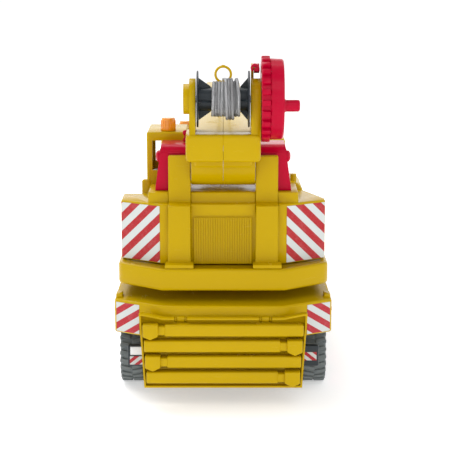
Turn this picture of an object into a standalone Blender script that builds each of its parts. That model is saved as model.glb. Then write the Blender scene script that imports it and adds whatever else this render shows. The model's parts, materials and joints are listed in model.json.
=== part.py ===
"""A toy crane truck, built as separate pieces on their joints. Metres, +Z up, front towards +Y.

The truck stands on Z = 0 with the middle of its box over the origin, and the boom is stowed level over
the driver's cab. Pieces that move hang from an empty that sits on their joint's axis.
"""

import math

import bmesh
import bpy
from mathutils import Matrix, Vector

# ---------------------------------------------------------------- driving sizes, in metres

CLEARANCE = 0.0003  # between pieces that touch, and round every pin
WALL = 0.0025  # moulded casings
SEAM = 0.00015  # each half of the boom stops this far from the middle

HALF_LENGTH = 0.300  # stowed legs at the back, hook at the front
HALF_WIDTH = 0.0925  # chassis body

TYRE_RADIUS = 0.031
TYRE_WIDTH = 0.020
TYRE_INSET = 0.0025  # tyre's outer face inside the chassis side
RIM_RADIUS = 0.019
AXLE_RADIUS = 0.0025
ARCH_GAP = 0.004  # round and over each tyre

DECK_RISE = 0.020  # deck's top over the cab floor
DECK_PLATE = 0.006
FASCIA_HEIGHT = 0.029
REAR_FLAT = 0.050  # half-width of the flat middle of the rear fascia
REAR_CHAMFER = 0.025  # how far its chamfered ends run forward

RACK_DEPTH = 0.016  # fascia to the outermost leg
RACK_HEIGHT = 0.060
RACK_HALF_TOP = 0.070
RACK_HALF_BOTTOM = 0.066
RACK_RIM = 0.0016
LEG_COUNT = 4
LEG_HEIGHT = 0.0100
FOOT_RISE = 0.0056  # foot block over the middle of its beam
FOOT_DROP = 0.0074  # and its point below it

CAB_LENGTH = 0.148
CAB_HEIGHT = 0.108
CAB_HALF_WIDTH = 0.070
CAB_FRONT_Y = 0.276
BUMPER_DEPTH = 0.0077
FENDER_WALL = 0.0022

TURN_GAP = 0.0105  # chassis deck to the turntable's skirt
TURN_HEIGHT = 0.0185
TURN_PLATE = 0.005
TURN_HALF_WIDTH = 0.090
TURN_ROUND = 0.012  # radius of its corners, seen from above
SLEW_RADIUS = 0.058
SPIGOT_RADIUS = 0.0197

HOUSING_HEIGHT = 0.052
HOUSING_HALF_WIDTH = 0.088
RAISED_HEIGHT = 0.009

HEEL_HALF = 0.027  # boom's round heel, between the pillars
HEEL_RADIUS = 0.0245
HEEL_GAP = 0.0045  # heel over the raised deck
PIVOT_RADIUS = 0.004
PILLAR_WIDTH = 0.019
BLOCK_HALF = 0.0307
BLOCK_LENGTH = 0.022
BOOM_HALF = 0.024
BOOM_HEIGHT = 0.0295
BOOM_WALL = 0.0035
OUTER_STAGE_FRONT = 0.096
STAGE_PLAY = 0.0005

FLANGE_RADIUS = 0.0233
DRUM_HALF = 0.0218
CORE_RADIUS = 0.0097
WINDING_RADIUS = 0.0148
CHEEK_THICKNESS = 0.0078
LEFT_CHEEK_THICKNESS = 0.0050
AXLE_BOSS_RADIUS = 0.0125
CHEEK_RADIUS = 0.017
WINCH_AXLE_RADIUS = 0.003
CRANK_RADIUS = 0.0354
CRANK_TEETH = 24
CRANK_THICKNESS = 0.0183
PEG_RADIUS = 0.0048
PEG_LENGTH = 0.0125

CORD_RADIUS = 0.0012
SHEAVE_RADIUS = 0.0098
SHEAVE_GROOVE = 0.0075
SHEAVE_HALF = 0.0045
HOOK_HALF_DEPTH = 0.0065

# ---------------------------------------------------------------- places worked out from them

REAR_Y = -HALF_LENGTH + RACK_DEPTH  # plane of the rear fascia
AXLE_Z = TYRE_RADIUS
FLOOR_Z = 2 * TYRE_RADIUS + ARCH_GAP
DECK_TOP = FLOOR_Z + DECK_RISE
FASCIA_BOTTOM = DECK_TOP - FASCIA_HEIGHT
REAR_AXLE_Y = REAR_Y + 0.041 + TYRE_RADIUS
MID_AXLE_Y = REAR_AXLE_Y + 2 * TYRE_RADIUS + 0.005
CAB_REAR_Y = CAB_FRONT_Y - CAB_LENGTH
FRONT_AXLE_Y = CAB_FRONT_Y - 0.079
DECK_FRONT_Y = CAB_REAR_Y - CLEARANCE
TYRE_OUT = HALF_WIDTH - TYRE_INSET
TYRE_IN = TYRE_OUT - TYRE_WIDTH

TURN_BOTTOM = DECK_TOP + TURN_GAP
TURN_TOP = TURN_BOTTOM + TURN_HEIGHT
SLEW_Y = REAR_Y + 0.134
HOUSING_TOP = TURN_TOP + HOUSING_HEIGHT
RAISED_TOP = HOUSING_TOP + RAISED_HEIGHT

PIVOT_Y = REAR_Y + 0.052
PIVOT_Z = RAISED_TOP + HEEL_RADIUS + HEEL_GAP
BOOM_TOP = PIVOT_Z + HEEL_RADIUS
BOOM_BOTTOM = BOOM_TOP - BOOM_HEIGHT
PILLAR_IN = HEEL_HALF + 0.0005
PILLAR_OUT = PILLAR_IN + PILLAR_WIDTH
PILLAR_TOP = PIVOT_Z + 0.002
COVER_IN = HEEL_HALF + 0.0035
COVER_TOP_OUT = PILLAR_OUT + 0.0069
COVER_BOTTOM_OUT = PILLAR_OUT + 0.012
COVER_REAR_Y = PIVOT_Y - 0.007
COVER_FRONT_Y = PIVOT_Y + 0.033
COVER_TOP = PIVOT_Z + 0.010
RAISED_HALF = COVER_BOTTOM_OUT + 0.0055

WINCH_Y = REAR_Y + 0.020
WINCH_Z = BOOM_TOP + FLANGE_RADIUS + 0.0041
CHEEK_IN = DRUM_HALF + 0.001
CHEEK_OUT = CHEEK_IN + CHEEK_THICKNESS
CRANK_IN = CHEEK_OUT + 0.0005
CRANK_OUT = CRANK_IN + CRANK_THICKNESS

INNER_HALF = BOOM_HALF - BOOM_WALL - STAGE_PLAY
INNER_TOP = BOOM_TOP - BOOM_WALL - STAGE_PLAY
INNER_BOTTOM = BOOM_BOTTOM + BOOM_WALL + STAGE_PLAY
CORD_BEND = SHEAVE_GROOVE + CLEARANCE + CORD_RADIUS
FALL_Y = HALF_LENGTH - HOOK_HALF_DEPTH
SHEAVE_Y = FALL_Y - CORD_BEND
SHEAVE_Z = INNER_TOP - 0.0115
RING_Y = SHEAVE_Y - 0.0385
RING_MAJOR = 0.0094
RING_MINOR = 0.0013
RING_Z = INNER_TOP + CLEARANCE + RING_MAJOR + RING_MINOR
CORD_IN_RING_Z = RING_Z - 0.0052  # the cord rides low in the ring

# ---------------------------------------------------------------- scene, collections and materials

for existing in list(bpy.data.objects):
    bpy.data.objects.remove(existing)

PARTS = bpy.data.collections.new("toy_crane_truck")
TOOLS = bpy.data.collections.new("cutters")
for group in (PARTS, TOOLS):
    bpy.context.scene.collection.children.link(group)


def material(name, colour, roughness, metallic=0.0):
    """A Principled BSDF of one finish."""
    made = bpy.data.materials.new(name)
    made.use_nodes = True
    shader = made.node_tree.nodes["Principled BSDF"]
    shader.inputs["Base Color"].default_value = (*colour, 1)
    shader.inputs["Roughness"].default_value = roughness
    shader.inputs["Metallic"].default_value = metallic
    return made


YELLOW = material("yellow_plastic", (0.61, 0.38, 0.007), 0.30)
CRIMSON = material("crimson_plastic", (0.51, 0.004, 0.035), 0.30)
AMBER = material("amber_plastic", (0.91, 0.40, 0.010), 0.25)
CHARCOAL = material("charcoal_plastic", (0.035, 0.045, 0.05), 0.40)
TYRE_BLACK = material("tyre", (0.06, 0.065, 0.065), 0.70)
CORD_GREY = material("braided_cord", (0.32, 0.32, 0.32), 0.90)
STEEL = material("steel", (0.60, 0.60, 0.60), 0.30, 1.0)
CLEAR = material("clear_plastic", (0.75, 0.82, 0.85), 0.08)


# ---------------------------------------------------------------- shapes

# Each plane's matrix takes an outline's two coordinates to the world, and its depth to the axis named.
PLANES = {
    "X": Matrix(((0, 0, 1), (1, 0, 0), (0, 1, 0))).to_4x4(),
    "Y": Matrix(((1, 0, 0), (0, 0, -1), (0, 1, 0))).to_4x4(),
    "Z": Matrix.Identity(4),
}
AXES = {"X": Vector((1, 0, 0)), "Y": Vector((0, 1, 0)), "Z": Vector((0, 0, 1))}
TURNS = {"X": (0, math.pi / 2, 0), "Y": (-math.pi / 2, 0, 0), "Z": (0, 0, 0)}


def into(obj, collection):
    """Puts an object in one collection only."""
    for holder in list(obj.users_collection):
        holder.objects.unlink(obj)
    collection.objects.link(obj)
    return obj


def box(name, x, y, z):
    """A block between the two limits given along each axis."""
    limits = (x, y, z)
    bpy.ops.mesh.primitive_cube_add(size=1, location=[(low + high) / 2 for low, high in limits])
    obj = bpy.context.object
    obj.name = name
    obj.scale = [abs(high - low) for low, high in limits]
    bpy.ops.object.transform_apply(location=False, rotation=False, scale=True)
    return into(obj, PARTS)


def rod(name, axis, centre, radius, start, end, sides=24, radius_end=None):
    """A cylinder, or a cone's frustum, along one axis. centre is its place across the axis."""
    place = Vector(centre) + AXES[axis] * (start + end) / 2
    bpy.ops.mesh.primitive_cone_add(
        vertices=sides,
        radius1=radius,
        radius2=radius if radius_end is None else radius_end,
        depth=end - start,
        location=place,
        rotation=TURNS[axis],
    )
    obj = bpy.context.object
    obj.name = name
    return into(obj, PARTS)


def meshed(curve, name):
    """A mesh object in the place of a curve, with its caps welded and its flat faces whole."""
    bpy.context.view_layer.update()
    graph = bpy.context.evaluated_depsgraph_get()
    mesh = bpy.data.meshes.new_from_object(curve.evaluated_get(graph))
    shape = bmesh.new()
    shape.from_mesh(mesh)
    bmesh.ops.remove_doubles(shape, verts=shape.verts, dist=0.000001)
    bmesh.ops.dissolve_limit(shape, angle_limit=0.01, verts=shape.verts, edges=shape.edges)
    bmesh.ops.recalc_face_normals(shape, faces=shape.faces)
    shape.to_mesh(mesh)
    shape.free()
    obj = bpy.data.objects.new(name, mesh)
    PARTS.objects.link(obj)
    obj.matrix_world = curve.matrix_world
    bpy.data.objects.remove(curve)
    obj.name = name
    return obj


def prism(name, outline, axis, start, end):
    """A flat outline given its thickness along one axis: (y, z) along X, (x, z) along Y, (x, y) along Z."""
    curve = bpy.data.curves.new(name, "CURVE")
    curve.dimensions = "2D"
    curve.fill_mode = "BOTH"
    curve.extrude = abs(end - start) / 2
    spline = curve.splines.new("POLY")
    spline.points.add(len(outline) - 1)
    for point, (across, up) in zip(spline.points, outline):
        point.co = (across, up, 0, 1)
    spline.use_cyclic_u = True
    guide = bpy.data.objects.new(name + "_outline", curve)
    PARTS.objects.link(guide)
    guide.matrix_world = Matrix.Translation(AXES[axis] * (start + end) / 2) @ PLANES[axis]
    return meshed(guide, name)


def tube(name, points, radius):
    """A round wire or cord along a list of points."""
    curve = bpy.data.curves.new(name, "CURVE")
    curve.dimensions = "3D"
    curve.bevel_depth = radius
    curve.bevel_resolution = 2
    curve.use_fill_caps = True
    spline = curve.splines.new("POLY")
    spline.points.add(len(points) - 1)
    for point, place in zip(spline.points, points):
        point.co = (*place, 1)
    guide = bpy.data.objects.new(name + "_line", curve)
    PARTS.objects.link(guide)
    return meshed(guide, name)


def turned(name, profile, axis, centre, sides=24):
    """A (radius, height) profile turned about an axis, drawn down its outer side and closed off the axis."""
    mesh = bpy.data.meshes.new(name)
    count = len(profile)
    edges = [(i, i + 1) for i in range(count - 1)]
    if profile[0][0] > 0:
        edges.append((count - 1, 0))
    mesh.from_pydata([(radius, 0, height) for radius, height in profile], edges, [])
    obj = bpy.data.objects.new(name, mesh)
    PARTS.objects.link(obj)
    obj.location = centre
    obj.rotation_euler = TURNS[axis]
    screw = obj.modifiers.new("Turn", "SCREW")
    screw.steps = screw.render_steps = sides
    screw.use_merge_vertices = True
    screw.merge_threshold = 0.00001
    return obj


def combine(obj, operation, tools):
    for tool in tools:
        modifier = obj.modifiers.new(operation.title(), "BOOLEAN")
        modifier.operation = operation
        modifier.object = into(tool, TOOLS)
        tool.hide_render = True
        tool.display_type = "WIRE"
        hold(tool, obj)
    return obj


def fuse(obj, *tools):
    return combine(obj, "UNION", tools)


def cut(obj, *tools):
    return combine(obj, "DIFFERENCE", tools)


def bevel(obj, width, segments=2):
    modifier = obj.modifiers.new("Bevel", "BEVEL")
    modifier.width = width
    modifier.segments = segments
    modifier.limit_method = "ANGLE"
    modifier.angle_limit = math.radians(40)
    return obj


def hold(obj, holder):
    """Parents one object to another and leaves it where it is."""
    bpy.context.view_layer.update()
    obj.parent = holder
    obj.matrix_parent_inverse = holder.matrix_world.inverted()
    return obj


def pivot(name, place, holder=None):
    """An empty on a joint's axis."""
    empty = bpy.data.objects.new(name, None)
    empty.empty_display_size = 0.02
    empty.location = place
    PARTS.objects.link(empty)
    return hold(empty, holder) if holder else empty


def finish(holder, finish_material, *pieces):
    """Gives pieces their material and shading, and hangs them from their joint's empty."""
    for piece in pieces:
        piece.data.materials.clear()
        piece.data.materials.append(finish_material)
        piece.data.shade_smooth()
        piece.data.set_sharp_from_angle(angle=math.radians(35))
        hold(piece, holder)


def side_span(side, near, far):
    """Limits along X for a piece on one side of the truck, in rising order."""
    return tuple(sorted((side * near, side * far)))


def inset(outline, wall):
    """The outline moved inwards by a wall, for an outline drawn anticlockwise."""
    count = len(outline)
    moved = []
    for i in range(count):
        before, here, after = (Vector(outline[(i + step) % count]) for step in (-1, 0, 1))
        first = (here - before).normalized()
        second = (after - here).normalized()
        first_in = Vector((-first.y, first.x))
        second_in = Vector((-second.y, second.x))
        corner = (first_in + second_in) / (1 + first_in.dot(second_in))
        moved.append(tuple(here + corner * wall))
    return moved


def circle(centre, radius, start, end, steps):
    """Points on an arc, with its angles in degrees."""
    angles = [math.radians(start + (end - start) * i / steps) for i in range(steps + 1)]
    return [(centre[0] + radius * math.cos(a), centre[1] + radius * math.sin(a)) for a in angles]


def rounded(before, corner, after, radius, steps=4):
    """Points on the arc that rounds a corner between two straight runs of an anticlockwise outline."""
    before, corner, after = (Vector(point) for point in (before, corner, after))
    back, ahead = (before - corner).normalized(), (after - corner).normalized()
    half_angle = back.angle(ahead) / 2
    middle = (back + ahead).normalized()
    centre = corner + middle * (radius / math.sin(half_angle))
    sweep = math.pi / 2 - half_angle
    points = []
    for i in range(steps + 1):
        turn = Matrix.Rotation(sweep * (2 * i / steps - 1), 2)
        points.append(tuple(centre - turn @ (middle * radius)))
    return points


def along(start, end, steps):
    """Points on a straight run, the first included and the last left out."""
    start, end = Vector(start), Vector(end)
    return [tuple(start.lerp(end, i / steps)) for i in range(steps)]


SIDES = {"left": -1, "right": 1}

# ---------------------------------------------------------------- chassis

RAIL_IN, RAIL_OUT = 0.022, 0.030
BEAM_WIDTH = 0.008
RAIL_BOTTOM = FLOOR_Z - 0.020
DECK_UNDER = DECK_TOP - DECK_PLATE
AXLES = {"front": FRONT_AXLE_Y, "middle": MID_AXLE_Y, "rear": REAR_AXLE_Y}


def make_chassis_frame():
    """Two rails with an axle bearing under each at every axle, and cross members between them."""
    tail = REAR_Y + 0.008
    nose = CAB_FRONT_Y - 0.004
    low_top = FLOOR_Z - CLEARANCE
    high_top = DECK_UNDER - CLEARANCE
    step = CAB_REAR_Y - 0.004
    outline = [(tail, RAIL_BOTTOM), (nose, RAIL_BOTTOM), (nose, low_top), (step, low_top)]
    outline += [(step, high_top), (tail, high_top)]
    frame = prism("chassis_frame", outline, "X", RAIL_IN, RAIL_OUT)
    fuse(frame, prism("rail", outline, "X", -RAIL_OUT, -RAIL_IN))
    beams = (tail + 0.004, (REAR_AXLE_Y + MID_AXLE_Y) / 2, 0.0, step - 0.012, nose - 0.012)
    for y in beams:
        x, z = (-RAIL_IN - 0.001, RAIL_IN + 0.001), (RAIL_BOTTOM + 0.003, low_top - 0.004)
        fuse(frame, box("cross_member", x, (y, y + BEAM_WIDTH), z))
    bearing = AXLE_RADIUS + 0.0035
    for y in AXLES.values():
        for side in SIDES.values():
            x = side_span(side, RAIL_IN + 0.0005, RAIL_OUT - 0.0005)
            z = (AXLE_Z - bearing, RAIL_BOTTOM + 0.002)
            fuse(frame, box("bearing", x, (y - bearing, y + bearing), z))
        cut(frame, rod("axle_hole", "X", (0, y, AXLE_Z), AXLE_RADIUS + CLEARANCE, -0.04, 0.04, 16))
    return frame


def deck_outline(half_width):
    corner = REAR_Y + REAR_CHAMFER
    return [
        (-REAR_FLAT, REAR_Y),
        (REAR_FLAT, REAR_Y),
        (half_width, corner),
        (half_width, DECK_FRONT_Y),
        (-half_width, DECK_FRONT_Y),
        (-half_width, corner),
    ]


RACK_TOP = DECK_TOP - 0.008
RACK_BOTTOM = RACK_TOP - RACK_HEIGHT
RACK_BACK_Y = REAR_Y - 0.0018
RACK_FRONT_Y = REAR_Y - 0.0093
RACK_FLOOR = 0.0018
RACK_CORNER_RISE = 0.0035
BARREL_RADIUS = 0.0023
HINGE_Z = RACK_TOP - BARREL_RADIUS
HINGE_Y = REAR_Y - 0.0030
HINGE_PIN = 0.0010
BARREL_IN, BARREL_OUT = 0.0322, 0.0384
EAR_THICKNESS = 0.0016
EAR_HALF = 0.0016  # the ears stay inside the notches as the rack turns
NOTCH_IN = BARREL_IN - EAR_THICKNESS - 2 * CLEARANCE
NOTCH_OUT = BARREL_OUT + EAR_THICKNESS + 2 * CLEARANCE


def make_chassis_deck():
    """The body over the wheels: an open-bottomed tray with arches, and ears for the rack's hinge pins."""
    outline = deck_outline(HALF_WIDTH)
    deck = prism("chassis_deck", outline, "Z", FASCIA_BOTTOM, DECK_TOP)
    bevel(deck, 0.0012, 1)
    hollow = [(x, y + 0.02 if y > 0 else y) for x, y in inset(outline, WALL)]  # open at the cab's end
    cut(deck, prism("deck_hollow", hollow, "Z", FASCIA_BOTTOM - 0.01, DECK_UNDER))
    for y in (REAR_AXLE_Y, MID_AXLE_Y):
        cut(deck, rod("arch", "X", (0, y, AXLE_Z), TYRE_RADIUS + ARCH_GAP, -0.12, 0.12, 32))
    for side in SIDES.values():
        for near in (NOTCH_IN + CLEARANCE, BARREL_OUT + CLEARANCE):
            x, y = side_span(side, near, near + EAR_THICKNESS), (HINGE_Y - EAR_HALF, REAR_Y + 0.001)
            fuse(deck, box("hinge_ear", x, y, (HINGE_Z - EAR_HALF, HINGE_Z + EAR_HALF)))
        start, end = side_span(side, BARREL_IN - 0.001, BARREL_OUT + 0.001)
        fuse(deck, rod("hinge_pin", "X", (0, HINGE_Y, HINGE_Z), HINGE_PIN, start, end, 10))
    return deck


def make_rear_bumper():
    bumper = box(
        "rear_bumper",
        (-(TYRE_IN + 0.012), TYRE_IN + 0.012),
        (REAR_Y + 0.022, REAR_Y + 0.028),
        (RAIL_BOTTOM - 0.019, RAIL_BOTTOM - CLEARANCE),
    )
    return bevel(bumper, 0.001, 1)


def make_front_bumper():
    half = HALF_WIDTH - 0.0065
    y = (CAB_FRONT_Y + CLEARANCE, CAB_FRONT_Y + CLEARANCE + BUMPER_DEPTH)
    bumper = bevel(box("front_bumper", (-half, half), y, (RAIL_BOTTOM - 0.020, FLOOR_Z - 0.006)), 0.002)
    for side in SIDES.values():
        bracket_y = (CAB_FRONT_Y - 0.004 + CLEARANCE, CAB_FRONT_Y + 0.002)
        bracket_z = (RAIL_BOTTOM, FLOOR_Z - 0.010)
        fuse(bumper, box("bracket", side_span(side, RAIL_IN, RAIL_OUT), bracket_y, bracket_z))
    return bumper


def make_fuel_tank():
    y = (MID_AXLE_Y + TYRE_RADIUS + 0.030, MID_AXLE_Y + TYRE_RADIUS + 0.095)
    z = (RAIL_BOTTOM - 0.020, FASCIA_BOTTOM + 0.012)
    tank = box("fuel_tank", (RAIL_OUT + CLEARANCE, HALF_WIDTH - 0.010), y, z)
    return bevel(tank, 0.006)


def make_slew_ring():
    low, high = DECK_TOP + CLEARANCE, TURN_TOP - TURN_PLATE - CLEARANCE
    inner = SPIGOT_RADIUS + CLEARANCE
    profile = [(SLEW_RADIUS - 0.006, high), (SLEW_RADIUS - 0.006, low + 0.006), (SLEW_RADIUS, low + 0.006)]
    profile += [(SLEW_RADIUS, low), (inner, low), (inner, high)]
    return turned("slew_ring", profile, "Z", (0, SLEW_Y, 0), 28)


# ---------------------------------------------------------------- wheels


def make_wheelset(name, y):
    """An axle with a dished rim and a tyre at each end."""
    hub = TYRE_IN + TYRE_WIDTH - 0.004
    axle = rod(f"{name}_axle", "X", (0, y, AXLE_Z), AXLE_RADIUS, -hub, hub, 16)
    rims, tyres = [], []
    bore = AXLE_RADIUS + CLEARANCE
    seat = RIM_RADIUS - CLEARANCE
    for side_name, side in SIDES.items():
        far, near = TYRE_OUT - 0.001, TYRE_IN + 0.001
        dish = far - 0.007
        rim_profile = [(seat, far), (seat, near), (bore, near), (bore, far - 0.002)]
        rim_profile += [(0.0065, far - 0.002), (0.0065, dish), (seat - 0.003, dish), (seat - 0.003, far)]
        rim = turned(f"{name}_rim_{side_name}", rim_profile, "X", (0, y, AXLE_Z), 16)
        shoulder = 0.003
        tyre_profile = [(RIM_RADIUS, TYRE_OUT), (TYRE_RADIUS - shoulder, TYRE_OUT)]
        tyre_profile += [(TYRE_RADIUS, TYRE_OUT - shoulder), (TYRE_RADIUS, TYRE_IN + shoulder)]
        tyre_profile += [(TYRE_RADIUS - shoulder, TYRE_IN), (RIM_RADIUS, TYRE_IN)]
        tyre = turned(f"{name}_tyre_{side_name}", tyre_profile, "X", (0, y, AXLE_Z), 24)
        if side < 0:
            for piece in (rim, tyre):
                piece.rotation_euler = (0, -math.pi / 2, 0)
        rims.append(rim)
        tyres.append(tyre)
    return axle, rims, tyres


# ---------------------------------------------------------------- driver's cab


CAB_SILL = FLOOR_Z - 0.024


def cab_outline():
    """Side view: upright back, raked windscreen and a snub nose."""
    top = FLOOR_Z + CAB_HEIGHT
    return [
        (CAB_REAR_Y, CAB_SILL),
        (CAB_FRONT_Y, CAB_SILL),
        (CAB_FRONT_Y - 0.003, FLOOR_Z + 0.046),
        (CAB_FRONT_Y - 0.014, FLOOR_Z + 0.052),
        (CAB_FRONT_Y - 0.038, top),
        (CAB_REAR_Y, top),
    ]


SCREEN_FOOT = FLOOR_Z + 0.056
SCREEN_HEAD = FLOOR_Z + CAB_HEIGHT - 0.008
DOOR_REAR_Y = FRONT_AXLE_Y - 0.037
DOOR_FRONT_Y = FRONT_AXLE_Y + 0.035
DOOR_FOOT = FLOOR_Z + 0.006
DOOR_HEAD = FLOOR_Z + CAB_HEIGHT - 0.010
DOOR_THICKNESS = 0.0024


def screen_y(z):
    """Y of the windscreen's outer face at a height."""
    foot, head = cab_outline()[3], cab_outline()[4]
    share = (z - foot[1]) / (head[1] - foot[1])
    return foot[0] + (head[0] - foot[0]) * share


def make_fender(side):
    """A mudguard over one front wheel, with a step ahead of it and one behind, out to the body's side."""
    inner, outer = TYRE_RADIUS + ARCH_GAP, TYRE_RADIUS + ARCH_GAP + FENDER_WALL
    foot = CAB_SILL + 0.004
    tail, nose = CAB_REAR_Y, CAB_FRONT_Y - 0.003
    step_top = foot + 0.010
    lift = math.degrees(math.asin((foot - AXLE_Z) / inner))
    rise = math.degrees(math.asin((step_top - AXLE_Z) / outer))
    centre = (FRONT_AXLE_Y, AXLE_Z)
    outline = [(nose, foot), (nose, step_top)]
    outline += circle(centre, outer, rise, 180 - rise, 16)
    outline += [(tail, step_top), (tail, foot)]
    outline += circle(centre, inner, 180 - lift, lift, 16)
    start, end = side_span(side, CAB_HALF_WIDTH - WALL / 2, TYRE_OUT)
    return prism("fender", outline, "X", start, end)


def make_cab_shell():
    half = CAB_HALF_WIDTH
    shell = bevel(prism("cab_shell", cab_outline(), "X", -half, half), 0.004)
    hollow = inset(cab_outline(), WALL)
    hollow[0] = (hollow[0][0], CAB_SILL - 0.01)
    hollow[1] = (CAB_FRONT_Y - WALL, CAB_SILL - 0.01)
    cut(shell, prism("cab_hollow", hollow, "X", -half + WALL, half - WALL))
    cut(shell, rod("cab_arch", "X", (0, FRONT_AXLE_Y, AXLE_Z), TYRE_RADIUS + ARCH_GAP, -0.12, 0.12, 32))
    # The rails run in through the back wall and the bumper's brackets through the nose.
    rail_way = RAIL_OUT + 0.004
    for y, top in ((CAB_REAR_Y, FLOOR_Z), (CAB_FRONT_Y, FLOOR_Z - 0.006)):
        cut(shell, box("rail_way", (-rail_way, rail_way), (y - 0.01, y + 0.01), (CAB_SILL - 0.01, top)))
    screen = (screen_y(SCREEN_HEAD) - 0.008, CAB_FRONT_Y + 0.01)
    cut(shell, box("screen_opening", (-half + 0.010, half - 0.010), screen, (SCREEN_FOOT, SCREEN_HEAD)))
    window = (FLOOR_Z + 0.060, SCREEN_HEAD)
    rear_y = (CAB_REAR_Y - 0.01, CAB_REAR_Y + 0.01)
    cut(shell, box("rear_window", (-half + 0.020, half - 0.020), rear_y, window))
    for side in SIDES.values():
        x = side_span(side, half - WALL - 0.002, half + 0.002)
        cut(shell, box("door_opening", x, (DOOR_REAR_Y, DOOR_FRONT_Y), (DOOR_FOOT, DOOR_HEAD)))
        fuse(shell, make_fender(side))
    return shell


def make_cab_door(name, side):
    x = side_span(side, CAB_HALF_WIDTH - DOOR_THICKNESS, CAB_HALF_WIDTH - 0.0001)
    y = (DOOR_REAR_Y + CLEARANCE, DOOR_FRONT_Y - CLEARANCE)
    door = box(f"cab_door_{name}", x, y, (DOOR_FOOT + CLEARANCE, DOOR_HEAD - CLEARANCE))
    through = side_span(side, CAB_HALF_WIDTH - 0.01, CAB_HALF_WIDTH + 0.01)
    cut(door, box("door_window", through, (y[0] + 0.006, y[1] - 0.007), (FLOOR_Z + 0.054, DOOR_HEAD - 0.007)))
    return door


def make_cab_interior():
    """Floor, dashboard, two seats and a steering wheel's column in one moulding."""
    half = CAB_HALF_WIDTH - WALL - CLEARANCE
    y = (CAB_REAR_Y + WALL + CLEARANCE, CAB_FRONT_Y - WALL - 0.004)  # clear of the leaning nose
    inside = box("cab_interior", (-half, half), y, (FLOOR_Z + CLEARANCE, FLOOR_Z + 0.004))
    dash_y = (CAB_FRONT_Y - 0.040, CAB_FRONT_Y - 0.018)
    fuse(inside, box("dashboard", (-half + 0.002, half - 0.002), dash_y, (FLOOR_Z + 0.003, FLOOR_Z + 0.042)))
    for side in SIDES.values():
        seat_x = side_span(side, 0.022, 0.058)
        seat_y = CAB_REAR_Y + 0.022
        fuse(inside, box("seat", seat_x, (seat_y, seat_y + 0.040), (FLOOR_Z + 0.003, FLOOR_Z + 0.026)))
        fuse(inside, box("seat_back", seat_x, (seat_y, seat_y + 0.010), (FLOOR_Z + 0.020, FLOOR_Z + 0.070)))
    return inside


def make_cab_glazing():
    """The windscreen, lying in its opening on the cab's slope."""
    head, foot = SCREEN_HEAD - CLEARANCE, SCREEN_FOOT + CLEARANCE
    depth, thickness = 0.0004, 0.0018
    outline = [(screen_y(foot) - depth - thickness, foot), (screen_y(foot) - depth, foot)]
    outline += [(screen_y(head) - depth, head), (screen_y(head) - depth - thickness, head)]
    half = CAB_HALF_WIDTH - 0.010 - CLEARANCE
    return prism("cab_glazing", outline, "X", -half, half)


def make_beacon(name, x, y, z):
    height = 0.0112
    foot = z + CLEARANCE
    return bevel(rod(name, "Z", (x, y, 0), 0.0070, foot, foot + height, 18, 0.0062), 0.0006, 1)


# ---------------------------------------------------------------- stowed outrigger legs


def make_stow_rack():
    """A shallow tray on two hinge barrels, a little narrower at its foot."""
    corner, crest = RACK_HALF_TOP - 0.004, RACK_TOP + RACK_CORNER_RISE
    outline = [(-RACK_HALF_BOTTOM, RACK_BOTTOM), (RACK_HALF_BOTTOM, RACK_BOTTOM)]
    outline += [(RACK_HALF_TOP, crest), (corner, crest), (REAR_FLAT, RACK_TOP)]
    outline += [(-REAR_FLAT, RACK_TOP), (-corner, crest), (-RACK_HALF_TOP, crest)]
    rack = prism("stow_rack", outline, "Y", RACK_FRONT_Y, RACK_BACK_Y)
    floor_y = RACK_BACK_Y - RACK_FLOOR
    cut(rack, prism("rack_hollow", inset(outline, RACK_RIM), "Y", RACK_FRONT_Y - 0.01, floor_y))
    for side in SIDES.values():
        notch_x, notch_foot = side_span(side, NOTCH_IN, NOTCH_OUT), HINGE_Z - BARREL_RADIUS - CLEARANCE
        notch_y = (RACK_FRONT_Y - 0.01, RACK_BACK_Y + 0.01)
        cut(rack, box("hinge_notch", notch_x, notch_y, (notch_foot, RACK_TOP + 0.01)))
        start, end = side_span(side, BARREL_IN, BARREL_OUT)
        lug_y = (HINGE_Y - 0.0006, HINGE_Y + 0.0011)
        fuse(rack, box("lug", (start, end), lug_y, (notch_foot - 0.001, HINGE_Z)))
        fuse(rack, rod("barrel", "X", (0, HINGE_Y, HINGE_Z), BARREL_RADIUS, start, end, 16))
        bore = HINGE_PIN + CLEARANCE
        cut(rack, rod("barrel_bore", "X", (0, HINGE_Y, HINGE_Z), bore, start - 0.001, end + 0.001, 12))
    return rack


LEG_PITCH = (RACK_HEIGHT - 2 * RACK_RIM - 0.0030) / LEG_COUNT


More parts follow.
